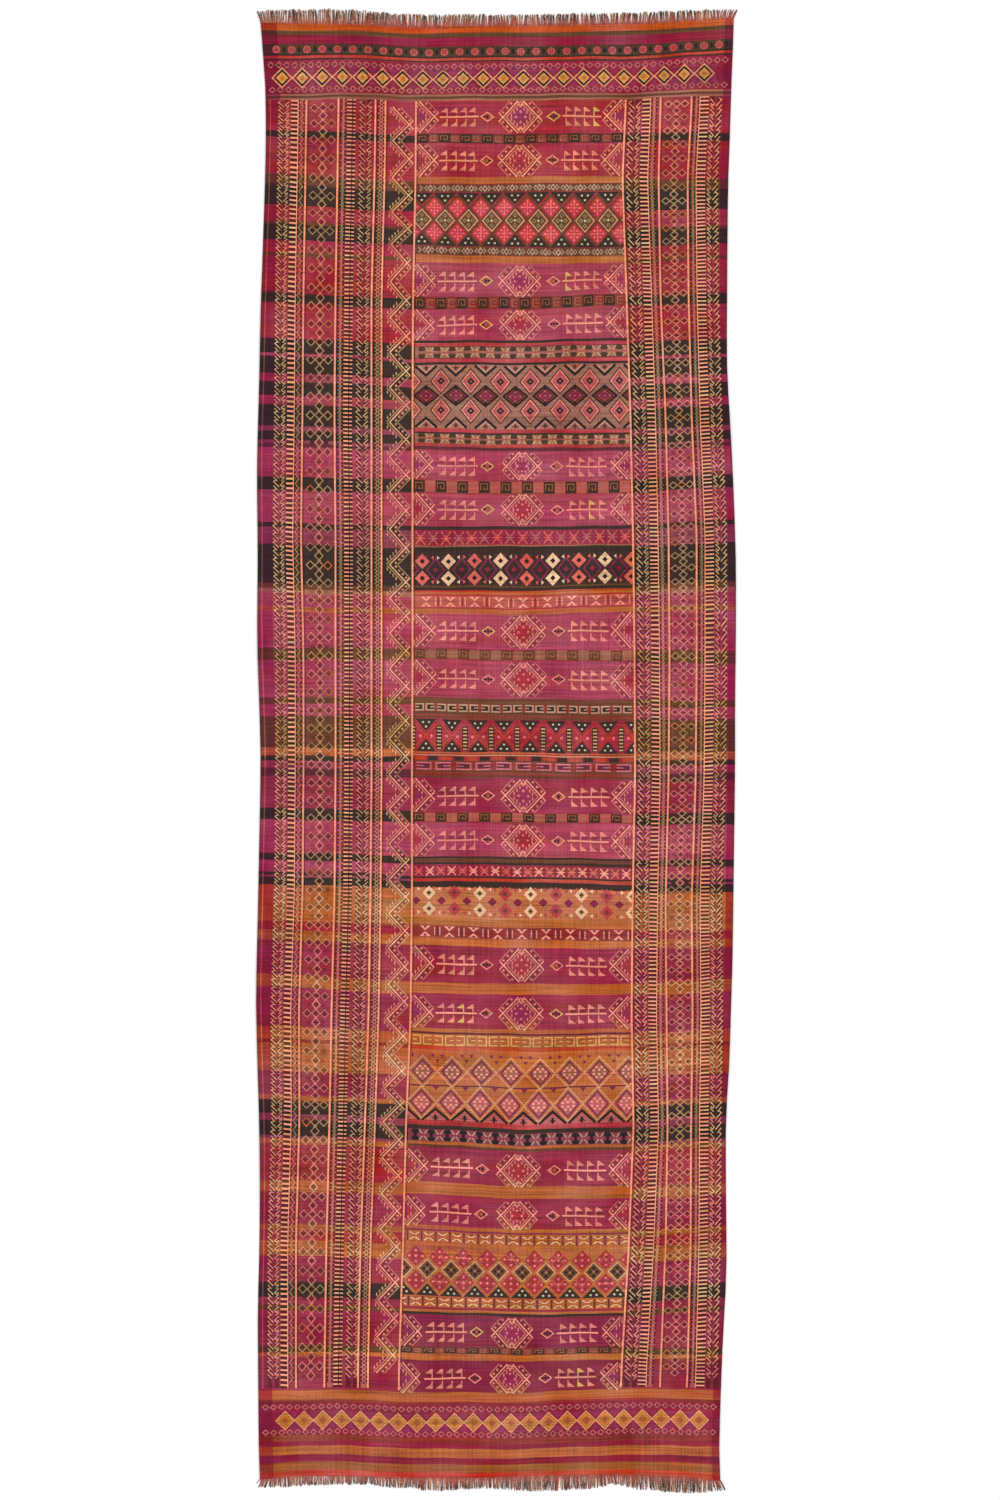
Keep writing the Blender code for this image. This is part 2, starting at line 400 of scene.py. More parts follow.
def woolFinish(name, abrashAndRibShade, ribs, woven=True):
    # uneven dye that runs with the wefts, painted shade as dark streaks along the warp ribs, and the weave's own
    # relief
    finish = Finish(name)
    colour = finish.node("ShaderNodeAttribute", {"attribute_name": "yarn"}, output="Color")
    x, y, z = finish.split()
    weft = finish.node("ShaderNodeAttribute", {"attribute_name": "weft"}, output="Fac") if woven else y
    loom = finish.node("ShaderNodeCombineXYZ", sockets={0: x, 1: weft, 2: 0.0})
    dye = finish.noise(loom, (1.3, 48.0, 1.0), 3.0)
    cast = finish.noise(loom, (2.1, 31.0, 5.0), 3.0)
    streaks = finish.noise(loom, (5.0, 300.0, 1.0), 2.0)
    # painted shade: dark streaks between the warp ribs, put into the colour
    ribShade = finish.noise(loom, (330.0, 4.0, 1.0), 2.0)
    clouds = finish.noise(finish.places(), (8.0, 8.0, 8.0), 3.0)
    fleck = finish.noise(finish.places(), (420.0, 700.0, 420.0), 1.0)
    # the colour's tone: dye unevenness with the painted rib shade mixed in
    tone = 1.0 + (dye * 0.7 + streaks * 1.8 + ribShade * 1.1 + clouds * 0.6) * abrashAndRibShade + fleck * 1.1
    sockets = {"Hue": 0.5 + cast * (0.055 * abrashAndRibShade), "Saturation": 1.0 - clouds * (0.4 * abrashAndRibShade), "Value": tone}
    shaded = finish.node("ShaderNodeHueSaturation", sockets=dict(sockets, Color=colour))
    finish.feed(finish.shader.inputs["Base Color"], shaded)
    warp = (x * (2 * math.pi / wool["ribPitch"])).work("SINE")
    pick = (y * (2 * math.pi / wool["pickPitch"])).work("SINE")
    weave = warp * ribs + pick * (1.0 - ribs) + fleck * 0.6
    sockets = {"Strength": 0.55, "Distance": wool["ribDepth"], "Height": weave}
    finish.feed(finish.shader.inputs["Normal"], finish.node("ShaderNodeBump", sockets=sockets))
    finish.feed(finish.shader.inputs["Roughness"], wool["roughness"] + fleck * 0.1)
    finish.shader.inputs["Sheen Weight"].default_value = wool["sheen"]
    finish.shader.inputs["Sheen Roughness"].default_value = 0.6
    finish.shader.inputs["Specular IOR Level"].default_value = 0.15
    return finish.material


def bakeMap(mesh, lanes, under=False):
    # lays the piece out flat in lanes side by side, so that its colours keep their detail
    count = len(mesh.loops)
    corner = np.empty(count, np.int32)
    mesh.loops.foreach_get("vertex_index", corner)
    places = np.empty(len(mesh.vertices) * 3, np.float32)
    mesh.vertices.foreach_get("co", places)
    places = places.reshape(-1, 3)
    starts = np.empty(len(mesh.polygons), np.int32)
    totals = np.empty(len(mesh.polygons), np.int32)
    mesh.polygons.foreach_get("loop_start", starts)
    mesh.polygons.foreach_get("loop_total", totals)
    normals = np.empty(len(mesh.polygons) * 3, np.float32)
    mesh.polygons.foreach_get("normal", normals)
    face = np.repeat(np.arange(len(starts)), totals)
    x, y = places[corner, 0], places[corner, 1]
    middle = np.add.reduceat(y, starts) / totals
    low, high = places.min(axis=0), places.max(axis=0)
    lane = np.clip(((high[1] - middle) / (high[1] - low[1]) * lanes).astype(int), 0, lanes - 1)[face]
    width = 0.84 if under else 1.0
    across = (x - low[0]) / (high[0] - low[0])
    down = (high[1] - y) / (high[1] - low[1]) * lanes - lane
    mapped = np.stack([(lane + 0.005 + 0.99 * across) / lanes * width, 1 - (0.01 + 0.98 * down)], axis=1)
    if under:
        facing = normals.reshape(-1, 3)[face, 2]
        length = (high[1] - y) / (high[1] - low[1])
        back = np.stack([0.85 + 0.12 * across, 1 - (0.01 + 0.98 * length)], axis=1)
        wall = np.stack([0.98 + 0.015 * across, 1 - (0.01 + 0.98 * length)], axis=1)
        mapped = np.where((facing < -0.5)[:, None], back, mapped)
        mapped = np.where((np.abs(facing) <= 0.5)[:, None], wall, mapped)
    layer = mesh.uv_layers.new(name="OFBake")
    layer.data.foreach_set("uv", mapped.astype(np.float32).ravel())


def addPiece(name, bm, material):
    mesh = bpy.data.meshes.new(name)
    bm.to_mesh(mesh)
    bm.free()
    mesh.materials.append(material)
    piece = bpy.data.objects.new(name, mesh)
    bpy.context.scene.collection.objects.link(piece)
    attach(piece, "root")
    return piece


clothMesh = {"sideSteps": 20, "fieldSteps": 26, "rightSteps": 13, "rowStep": 9.0}


def weaveCloth(material):
    # one sheet whose rows follow the edges of the stripes
    edges = sorted(set(sideTable[0]) | set(fieldTable[0]) | {chart["bottomV"]})
    rows = [edges[0]]
    for edge in edges[1:]:
        if edge - rows[-1] < 0.7:
            continue
        steps = max(1, math.ceil((edge - rows[-1]) / clothMesh["rowStep"]))
        start = rows[-1]
        rows += [start + (edge - start) * k / steps for k in range(1, steps + 1)]
    rows = np.array(rows)
    left, right = sideU("left", rows), sideU("right", rows)
    inner, outer = guide("w5", rows), guide("r1", rows)
    parts = ((left, inner, clothMesh["sideSteps"]), (inner, outer, clothMesh["fieldSteps"]),
             (outer, right, clothMesh["rightSteps"]))
    columns = []
    for first, last, steps in parts:
        columns += [first + (last - first) * k / steps for k in range(steps)]
    columns.append(right)
    u = np.array(columns).T
    v = np.repeat(rows[:, None], u.shape[1], axis=1)
    x, y = onCloth(u, v)
    x[:, 0] = np.interp(y[:, 0], *outline["left"])
    x[:, -1] = np.interp(y[:, -1], *outline["right"])
    z = heightAt(x, y)
    nRows, nColumns = u.shape
    bm = bmesh.new()
    bmesh.ops.create_grid(bm, x_segments=nColumns - 1, y_segments=nRows - 1, size=0.5)
    bm.verts.ensure_lookup_table()
    layer = bm.faces.layers.float_color.new("yarn")
    weft = bm.verts.layers.float.new("weft")
    for vert in bm.verts:
        i = round((0.5 - vert.co.y) * (nRows - 1))
        j = round((vert.co.x + 0.5) * (nColumns - 1))
        vert.co = (x[i, j], y[i, j], z[i, j])
        vert[weft] = rows[i] * chart["stitch"]
    rng = random.Random(5)
    tones = [rng.uniform(0.95, 1.05) for _ in rows]
    fieldFrom, fieldTo = clothMesh["sideSteps"], clothMesh["sideSteps"] + clothMesh["fieldSteps"]
    deeper = np.array([0.74, 0.28, 0.72])
    rowYarns = [
        (stripeAt(sideTable, (a + b) / 2), stripeAt(fieldTable, (a + b) / 2)) for a, b in zip(rows, rows[1:])
    ]
    for index, face in enumerate(bm.faces):
        i = nRows - 2 - index // (nColumns - 1)
        j = index % (nColumns - 1)
        inField = fieldFrom <= j < fieldTo
        colour = yarnColours[rowYarns[i][1 if inField else 0]] * tones[i]
        if j < 2 or j > nColumns - 3:
            colour = colour * deeper
        face[layer] = (*colour, 1.0)
    lower = bmesh.ops.extrude_face_region(bm, geom=list(bm.faces), use_keep_orig=True)
    for item in lower["geom"]:
        if isinstance(item, bmesh.types.BMVert):
            item.co.z -= surface["thick"]
    bmesh.ops.recalc_face_normals(bm, faces=bm.faces)
    piece = addPiece("groundCloth", bm, material)
    bakeMap(piece.data, 2, under=True)
    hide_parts("cloth")
    print("ground cloth woven:", len(piece.data.polygons), "faces")
    return piece


brocading = {"lift": 0.00026, "layer": 0.0001, "sink": 0.00012, "longest": 8.0, "tone": 0.07}


class Brocade:
    # extra weft laid over the ground cloth, drawn in chart stitches. A yarn is a name, or a share for laidOver.
    def __init__(self, name, seed, table):
        self.name = name
        self.rng = random.Random(seed)
        self.table = table
        self.bm = bmesh.new()
        self.colours = self.bm.verts.layers.float_color.new("yarn")
        self.wefts = self.bm.verts.layers.float.new("weft")
        self.count = 0

    def dip(self, layer):
        self.count += 1
        lift = brocading["lift"] + layer * brocading["layer"] + (self.count % 9) * 0.00001
        return lift, self.rng.uniform(1 - brocading["tone"], 1 + brocading["tone"])

    def corner(self, place, lift, yarn, tone):
        vert = self.bm.verts.new((place[0], place[1], lift))
        colour = yarnColours[yarn] if isinstance(yarn, str) else laidOver(self.table, place[1], yarn)
        vert[self.colours] = (*(colour * tone), 1.0)
        vert[self.wefts] = place[1] * chart["stitch"]
        return vert

    def patch(self, corners, yarn, layer=0):
        lift, tone = self.dip(layer)
        corners = self.insideField(corners) if self.table is fieldTable else corners
        if len(corners) > 2:
            self.bm.faces.new([self.corner(place, lift, yarn, tone) for place in corners])

    def insideField(self, corners):
        # cuts a patch off at the two white lines that the field lies between
        for name, way in (("w5", 1), ("r1", -1)):
            kept = []
            for k, place in enumerate(corners):
                before = corners[k - 1]
                d0, d1 = ((p[0] - float(guide(name, p[1]))) * way - 1.0 for p in (before, place))
                if d0 * d1 < 0:
                    t = d0 / (d0 - d1)
                    kept.append((before[0] + (place[0] - before[0]) * t, before[1] + (place[1] - before[1]) * t))
                if d1 >= 0:
                    kept.append(place)
            corners = kept
        return corners

    def stroke(self, path, yarn, wide=1.5, layer=0, closed=False):
        lift, tone = self.dip(layer)
        path = self.divided(list(path) + ([path[0]] if closed else []))
        if closed:
            path.pop()
        count = len(path)
        sides = []
        for k, place in enumerate(path):
            before = path[k - 1] if k or closed else None
            after = path[(k + 1) % count] if k < count - 1 or closed else None
            ways = []
            for start, end in ((before, place), (place, after)):
                if start and end:
                    long = math.hypot(end[0] - start[0], end[1] - start[1]) or 1.0
                    ways.append(((start[1] - end[1]) / long, (end[0] - start[0]) / long))
            out = (sum(w[0] for w in ways), sum(w[1] for w in ways))
            size = math.hypot(*out) or 1.0
            out = (out[0] / size, out[1] / size)
            reach = wide / 2 / max(0.4, out[0] * ways[0][0] + out[1] * ways[0][1])
            sides.append([(place[0] + way * out[0] * reach, place[1] + way * out[1] * reach) for way in (-1, 1)])
        pairs = list(zip(sides, sides[1:])) + ([(sides[-1], sides[0])] if closed else [])
        if self.table is fieldTable:
            for first, second in pairs:
                corners = self.insideField((first[0], second[0], second[1], first[1]))
                if len(corners) > 2:
                    self.bm.faces.new([self.corner(place, lift, yarn, tone) for place in corners])
            return
        verts = [[self.corner(place, lift, yarn, tone) for place in side] for side in sides]
        pairs = list(zip(verts, verts[1:])) + ([(verts[-1], verts[0])] if closed else [])
        for first, second in pairs:
            self.bm.faces.new((first[0], second[0], second[1], first[1]))

    def divided(self, path):
        result = [path[0]]
        for start, end in zip(path, path[1:]):
            steps = max(1, math.ceil(math.hypot(end[0] - start[0], end[1] - start[1]) / brocading["longest"]))
            result += [
                (start[0] + (end[0] - start[0]) * k / steps, start[1] + (end[1] - start[1]) * k / steps)
                for k in range(1, steps + 1)
            ]
        return result

    def diamond(self, u, v, halfU, halfV, yarn, wide=0, layer=0):
        corners = [(u - halfU, v), (u, v - halfV), (u + halfU, v), (u, v + halfV)]
        if wide:
            self.stroke(corners, yarn, wide, layer, closed=True)
        else:
            self.patch(corners, yarn, layer)

    def block(self, u, v, halfU, halfV, yarn, layer=0):
        corners = [(u - halfU, v - halfV), (u + halfU, v - halfV), (u + halfU, v + halfV), (u - halfU, v + halfV)]
        self.patch(corners, yarn, layer)

    def finish(self, material, lanes):
        flat = list(self.bm.faces)
        lower = bmesh.ops.extrude_face_region(self.bm, geom=flat, use_keep_orig=True)
        for item in lower["geom"]:
            if isinstance(item, bmesh.types.BMVert):
                item.co.z = -brocading["sink"]
        places = np.array([vert.co for vert in self.bm.verts])
        x, y = onCloth(places[:, 0], places[:, 1])
        z = heightAt(x, y) + places[:, 2]
        for vert, place in zip(self.bm.verts, zip(x, y, z)):
            vert.co = place
        bmesh.ops.recalc_face_normals(self.bm, faces=self.bm.faces)
        piece = addPiece(self.name, self.bm, material)
        bakeMap(piece.data, lanes)
        print(self.name, "laid in:", len(piece.data.polygons), "faces")
        return piece


def downwards(rng, start, stop, pitch, spread=0.12):
    v = start
    while v < stop - pitch * 0.4:
        yield v
        v += pitch * rng.uniform(1 - spread, 1 + spread)


# Long columns of figures, each measured in stitches from its guide line

def whiteLine(cloth, name, wide=1.7):
    places = np.arange(chart["figureTop"], chart["figureBottom"] + 1, 3.0)
    cloth.stroke([(float(guide(name, v)), float(v)) for v in places], "peach", wide, 2)
    # a darker line along one side of the white line: painted shade beside it
    cloth.stroke([(float(guide(name, v)) + 1.8, float(v)) for v in places], -0.45, 1.0)


def downStrip(cloth, name, first, last, yarn, layer=-1):
    # a plain strip down the cloth, behind a column or beside it; a darkened strip is painted shade in the gaps between
    # the column's strokes, a lightened one is a real yarn tint
    places = np.arange(chart["figureTop"], chart["figureBottom"] + 1, 3.0)
    cloth.stroke([(float(guide(name, v)) + (first + last) / 2, float(v)) for v in places], yarn, last - first, layer)


def comb(cloth, name, barAt, teethAt, pitch, split=0.0):
    rng = cloth.rng
    # a darkened strip behind the teeth: painted shade in the gaps between them
    downStrip(cloth, name, min(barAt, teethAt), max(barAt, teethAt), -0.7)
    for v in downwards(rng, chart["figureTop"] + 1, chart["figureBottom"], pitch, 0.06):
        u = float(guide(name, v))
        light = rng.choice(("peach", "blossom", "peach", "wheat"))
        wide = pitch * rng.uniform(0.34, 0.4)
        if split:
            cut = teethAt + (barAt - teethAt) * split
            cloth.stroke([(u + teethAt, v), (u + cut - 0.5, v)], light, wide)
            cloth.stroke([(u + cut + 0.5, v), (u + barAt, v)], light, wide * 0.85)
        else:
            cloth.stroke([(u + teethAt, v), (u + barAt, v + 0.3)], light, wide)
    if not split:
        downStrip(cloth, name, barAt - 0.4, barAt + 0.4, "peach", 1)


def chain(cloth, name, first, last, pitch, rows=2, tint=0.04):
    # a strip of warmer yarn with small dark dots in two or three rows and a fine zigzag
    rng = cloth.rng
    downStrip(cloth, name, first, last, tint)
    half = (last - first) / 2
    for k, v in enumerate(downwards(rng, chart["figureTop"] + 1, chart["figureBottom"] - pitch, pitch, 0.08)):
        u = float(guide(name, v)) + (first + last) / 2
        way = 1 if k % 2 else -1
        cloth.stroke([(u - way * half * 0.75, v - pitch / 2), (u + way * half * 0.75, v + pitch / 2)], 0.52, 0.9, 1)
        cloth.block(u + half * 0.8, v + way * 0.4, 0.9, 1.1, -0.72, 2)
        cloth.block(u - half * 0.8, v - way * 0.4, 0.9, 1.1, -0.72, 2)
        if rows == 3:
            cloth.block(u, v + pitch / 2, 0.75, 0.9, -0.6, 2)


def braid(cloth, name, first, last, unit, way, light=0.74):
    # slanting stitches that meet in the middle, the upper ones turned back into small hooks and spirals
    rng = cloth.rng
    half = (last - first) / 2
    # darkened strips behind the stitches: painted shade in the gaps between them, a little less dark down the middle
    downStrip(cloth, name, first, last, -0.62)
    downStrip(cloth, name, first + half - 1.5, last - half + 1.5, -0.2, 0)
    for v in downwards(rng, chart["figureTop"] + unit * 0.7, chart["figureBottom"] - unit * 0.5, unit, 0.05):
        u = float(guide(name, v)) + (first + last) / 2
        share = light * rng.uniform(0.85, 1.12)
        a, b = way * half, unit / 8.5

        def at(du, dv):
            return u + a * du, v + b * dv

        wide = 1.02 * b ** 0.5
        cloth.stroke([at(-0.5, -4.8), at(-0.96, -3.1), at(0.02, 2.1)], share, wide, 1)
        cloth.stroke([at(-0.96, 0.9), at(-0.26, 4.9)], share * 0.85, wide)
        cloth.stroke([at(0.96, -3.8), at(0.26, 0.2), at(0.56, 1.8), at(0.92, 0.0)], share * 0.95, wide, 1)
        cloth.stroke([at(0.98, 1.5), at(0.4, 4.8)], share * 0.85, wide)


def lattice(cloth, leftName, rightName, pitch, arm, size):
    # small diamonds in threes, with a lone one between the threes, all joined by crossed stitches
    rng = cloth.rng
    for v in downwards(rng, chart["figureTop"] + pitch / 2, chart["figureBottom"] - pitch * 0.6, pitch, 0.03):
        u = (float(guide(leftName, v)) + float(guide(rightName, v))) / 2 + 0.6
        share = rng.uniform(0.32, 0.5)
        for side in (-1, 0, 1):
            here = "amber" if rng.random() < 0.1 else share
            cloth.diamond(u + side * arm, v, size[0] + 1.5, size[1] + 1.5, -0.42, 0, -1)
            cloth.diamond(u + side * arm, v, size[0], size[1], here, 1.15)
            cloth.diamond(u + side * arm, v, 1.4, 1.5, -0.5, 0, 1)
        for side in (-1, 1):
            cloth.block(u + side * (arm / 2 + 2.6), v + pitch / 2, 2.2, 1.6, -0.22)
        between = rng.uniform(0.38, 0.6)
        tall = min(size[1], pitch / 2 - size[1] + 0.4)
        cloth.diamond(u, v + pitch / 2, size[0] + 1.2, tall + 1.2, -0.42, 0, -1)
        cloth.diamond(u, v + pitch / 2, size[0], tall, between, 1.15)
        cloth.diamond(u, v + pitch / 2, 1.3, 1.3, -0.5, 0, 1)
        for way in (-1, 1):
            for turn in (-1, 1):
                level = v + way * (size[1] - 0.4)
                cloth.stroke([(u - turn * 1.6, level - 1.4), (u + turn * 1.6, level + 1.4)], between, 1.1, 1)


arms = {
    "slope": 0.93,          # across for each stitch down
    "crossing": 4.4,        # how far the two arms run on past the tip where they cross, down
    "inner": -3.2,          # how far the other lines lie from the main one, across
    "knots": 4.6,
    "outer": 8.0,
    "toothStep": 3.1,
}


def crossedArms(cloth, base, v, high, side, share, knots=3):
    # two slanting lines that cross at the tip, a second pair with upright teeth inside, and knots and a third outside
    slope = arms["slope"] * side

    def at(shift, away, way):
        # away is counted from the row's upper or lower edge towards its middle
        return base + side * shift + slope * away, v + way * (high - away)

    for way in (-1, 1):
        past = high + arms["crossing"]
        reach = high - arms["crossing"]
        # a darkened patch behind the arms: painted shade in the gaps between their strokes
        cloth.patch([at(arms["inner"] + 0.4, 0.4, way), at(arms["inner"] + 0.4, high, way), at(0.6, high, way),
                     at(arms["outer"] - 0.4, reach, way), at(arms["outer"] - 0.4, 0.4, way)], -0.26, -1)
        cloth.stroke([at(0, 0, way), at(0, past, way)], min(1.0, share * 1.2), 1.3, 1)
        cloth.stroke([at(arms["inner"], 0.6, way), at(arms["inner"], high, way)], share * 0.72, 1.0, 1)
        cloth.stroke([at(arms["outer"], 0.3, way), at(arms["outer"], reach, way)], share * 0.62, 0.95, 1)
        for k in range(knots):
            away = (k + 0.55) / knots * (reach + 1.5)
            u, w = at(arms["knots"], away, way)
            cloth.diamond(u, w, 1.6, 1.6, share * 0.72, 0, 1)
        count = int((high - 3.0) / arms["toothStep"])
        for k in range(count):
            u, w = at(arms["inner"] - 2.0, 3.4 + k * arms["toothStep"], way)
            cloth.stroke([(u, w), (u, w - way * 3.2)], share * 0.8, 1.3, 1)


def zigzag(cloth, name, feet, period):
    rng = cloth.rng
    v = chart["figureTop"] + period * 0.69
    while v < chart["figureBottom"] - period * 0.4:
        base = float(guide(name, v)) + feet
        crossedArms(cloth, base, v, period / 2, 1, rng.uniform(0.76, 0.9), 4)
        v += period * rng.uniform(0.99, 1.01)


def weaveLeftColumns(material):
    cloth = Brocade("leftColumns", 11, sideTable)
    places = np.arange(chart["figureTop"], chart["figureBottom"], 3.0)
    cloth.stroke([(float(sideU("left", v)) + 4.6, float(v)) for v in places], 0.12, 1.2)
    cloth.stroke([(float(sideU("left", v)) + 0.9, float(v)) for v in places], -0.5, 1.3)
    braid(cloth, "w1", -28.2, -17, 8.5, 1)
    comb(cloth, "w1", -8.2, -15.4, 4.76)
    chain(cloth, "w1", -7.2, -1.8, 4.7)
    whiteLine(cloth, "w1")
    lattice(cloth, "w1", "w2", 18.2, 8.7, (4.1, 4.3))
    whiteLine(cloth, "w2")
    chain(cloth, "w2", 2.8, 7.6, 3.6, tint=0.22)
    comb(cloth, "w2", 17.4, 8.7, 4.0, 0.62)
    braid(cloth, "w2", 21.2, 33.6, 9.2, 1, 0.66)
    whiteLine(cloth, "w3")
    chain(cloth, "w3", 2.8, 9.2, 3.7, 3, 0.3)
    whiteLine(cloth, "w4")
    zigzag(cloth, "w5", -23.0, 35.2)
    whiteLine(cloth, "w5")
    return cloth.finish(material, 3)


def weaveRightColumns(material):
    cloth = Brocade("rightColumns", 12, sideTable)
    places = np.arange(chart["figureTop"], chart["figureBottom"], 3.0)
    cloth.stroke([(float(sideU("right", v)) - 0.9, float(v)) for v in places], -0.5, 1.3)
    whiteLine(cloth, "r1")
    braid(cloth, "r1", 3.2, 15.4, 10.4, 1)
    comb(cloth, "r1", 25.0, 16.8, 4.07)
    chain(cloth, "r1", 26.2, 31.6, 3.5, tint=0.2)
    whiteLine(cloth, "r2")
    lattice(cloth, "r2", "r3", 13.7, 8.2, (3.9, 3.4))
    whiteLine(cloth, "r3")
    chain(cloth, "r3", 2.8, 7.4, 3.5, tint=0.2)
    comb(cloth, "r3", 8.4, 17.4, 3.9)
    braid(cloth, "r3", 18.8, 30.4, 10.4, -1)
    return cloth.finish(material, 3)


# Plant rows: a hooked diamond in the middle, and on each side leaves on a stem, then a hooked chevron.
# Sizes are in stitches from the middle of the field.
plant = {
    "chevronFoot": 3.4,     # from the white line, the rest from the middle of the field
    "stemFrom": 42.0,
    "stemTo": 81.0,
    "leafAt": (48.5, 57.5, 66.8, 76.4),
    "leafWide": 7.0,
    "leafHigh": 4.6,
    "smallDiamond": 33.2,
    "medallionHead": 2.6,
    "fieldHalf": 104.75,
    "light": 0.8,
}
plantRows = (
    # v of the middle, height, yarn inside the medallion
    (117.0, 33, "heather"), (160.8, 33, "crimson"), (281.6, 32, "heather"), (325.0, 31, "crimson"),
    (466.7, 29, "heather"), (510.0, 32, "crimson"), (632.0, 34, "crimson"), (679.6, 36, "crimson"),
    (796.0, 34, "heather"), (840.4, 33, "crimson"), (965.5, 34, "crimson"), (1014.0, 34, "heather"),
    (1171.0, 34, "crimson"), (1216.0, 30, "crimson"), (1333.3, 31, "heather"), (1378.7, 30, "heather"),
)


def plantRow(cloth, v, high, inside):
    rng = cloth.rng
    left, right = float(guide("w5", v)), float(guide("r1", v))
    middle = (left + right) / 2
    share = (right - left) / 2 / plant["fieldHalf"]
    h = high / 2 - 0.4
    light = plant["light"]

    def at(side, du, dv):
        return (middle + side * du * share, v + dv)

    cloth.diamond(middle, v, 12.5, 11.5, inside, 0, -1)
    for edge, side in ((left, 1), (right, -1)):
        crossedArms(cloth, edge + side * plant["chevronFoot"], v, h, side, light)
        crossedArms(cloth, middle - side * plant["medallionHead"], v, h, -side, light)
        cloth.diamond(edge + side * 6.5, v, 5.0, 6.5, inside, 0, -1)
        cloth.block(middle + side * 1.9, v - h * 0.8, 0.8, 2.0, light * 1.15, 1)
        cloth.block(middle + side * 1.9, v + h * 0.8, 0.8, 2.0, light * 1.15, 1)
    for side in (-1, 1):
        cloth.stroke([at(side, plant["stemFrom"], 0), at(side, plant["stemTo"], 0.6)], light * 1.15, 1.6)
        for du in plant["leafAt"]:
            wide, tall = plant["leafWide"] / 2, plant["leafHigh"]
            leaf = "straw" if rng.random() < 0.05 else light * rng.uniform(0.75, 1.0)
            # a darker bar beside each leaf: painted shade near the figure
            cloth.block(*at(side, du, -2.6), wide, 0.8, -0.35)
            for base, stalk in ((-4.4, (-0.6, -4.6)), (10.2, (2.4, 6.0))):
                cloth.patch([at(side, du - wide, base), at(side, du + wide, base - 0.4),
                             at(side, du - wide * 0.5, base - tall), at(side, du - wide, base - tall)], leaf)
                cloth.stroke([at(side, du - wide + 0.6, stalk[0]), at(side, du - wide + 0.6, stalk[1])], leaf, 1.1)
        du = plant["smallDiamond"]
        rim = "straw" if rng.random() < 0.25 else 0.8
        cloth.diamond(*at(side, du, 0), 6.2, 4.6, rim, 1.2)
        for shift in (-3.0, 0, 3.0):
            cloth.diamond(*at(side, du + shift, 0), 1.3, 1.8, "coal" if rng.random() < 0.7 else "amber", 0, 1)
    for du, dv in ((-4.8, 0), (4.8, 0), (0, -5.2), (0, 5.2)):
        cloth.diamond(middle + du, v + dv, 1.6, 1.6, "pink", 0, 2)


def weavePlants(material):
    cloth = Brocade("plantRows", 13, fieldTable)
    for v, high, inside in plantRows:
        plantRow(cloth, v, high, inside)
    return cloth.finish(material, 3)


# Bands between the plant rows

def acrossField(v, inset=1.5):
    return float(guide("w5", v)) + inset, float(guide("r1", v)) - inset


def placesFrom(v, first, period):
    # the places of a repeat that has one figure at first and runs on to both edges of the field
    left, right = acrossField(v, -period / 2)
    start = first - math.floor((first - left) / period) * period
    return [start + period * k for k in range(int((right - start) / period) + 1)]


def repeatAcross(v, period, inset=1.5, phase=0.5):
    first, last = acrossField(v, inset)
    count = max(1, round((last - first) / period))
    step = (last - first) / count
    return [first + step * (k + phase) for k in range(count + (1 if phase == 0 else 0))], step


def meander(cloth, top, bottom, dark, bright, line="oak"):
    # blocks of two yarns in turn, each with a hooked line
    v = (top + bottom) / 2
    half = (bottom - top) / 2 - 0.8
    places, step = repeatAcross(v, 10.75)
    for k, u in enumerate(places):
        wide = step / 2 - 0.2
        if k % 2:
            cloth.block(u, v, wide, half, bright)
            cloth.stroke([(u + wide * 0.6, v - half * 0.6), (u - wide * 0.5, v - half * 0.6),
                          (u - wide * 0.5, v + half * 0.6), (u + wide * 0.6, v + half * 0.6)], "tan", 1.1, 1)
            cloth.stroke([(u - wide * 0.1, v), (u + wide * 0.6, v)], "tan", 0.9, 1)
        else:
            cloth.block(u, v, wide, half, dark)
            cloth.stroke([(u - wide * 0.7, v + half * 0.5), (u - wide * 0.7, v - half * 0.6),
                          (u + wide * 0.6, v - half * 0.6), (u + wide * 0.6, v + half * 0.4),
                          (u - wide * 0.1, v + half * 0.4), (u - wide * 0.1, v - 0.1 * half)], line, 0.9, 1)


def bowRow(cloth, top, bottom, period, yarn, eye):
    # bows and rings in turn over a darker strip
    v = (top + bottom) / 2
    half = (bottom - top) / 2 - 0.8
    places, step = repeatAcross(v, period)
    for u in places:
        cloth.block(u, v, step / 2, half + 0.3, eye)
        for side in (-1, 1):
            cloth.patch([(u + side * 0.4, v), (u + side * step * 0.27, v - half), (u + side * step * 0.27, v + half)],
                        yarn, 1)
            cloth.block(u + side * step * 0.2, v, 0.8, 0.9, eye, 2)
        cloth.diamond(u + step / 2, v, step * 0.16, half * 0.85, yarn, 1.2, 1)


def hourglassRow(cloth, top, bottom, period, yarn, eye, bar):
    v = (top + bottom) / 2
    half = (bottom - top) / 2 - 0.7
    places, step = repeatAcross(v, period)
    for u in places:
        for way in (-1, 1):
            cloth.patch([(u, v + way * 0.4), (u - 5.5, v + way * half), (u + 5.5, v + way * half)], yarn)
            cloth.patch([(u, v + way * half * 0.5), (u - 2, v + way * half * 0.95), (u + 2, v + way * half * 0.95)],
                        eye, 1)
        cloth.block(u + step / 2, v, 0.8, half, bar)
        cloth.block(u + step / 2 - 2.6, v, 0.5, half * 0.8, yarn)
        cloth.block(u + step / 2 + 2.6, v, 0.5, half * 0.8, yarn)


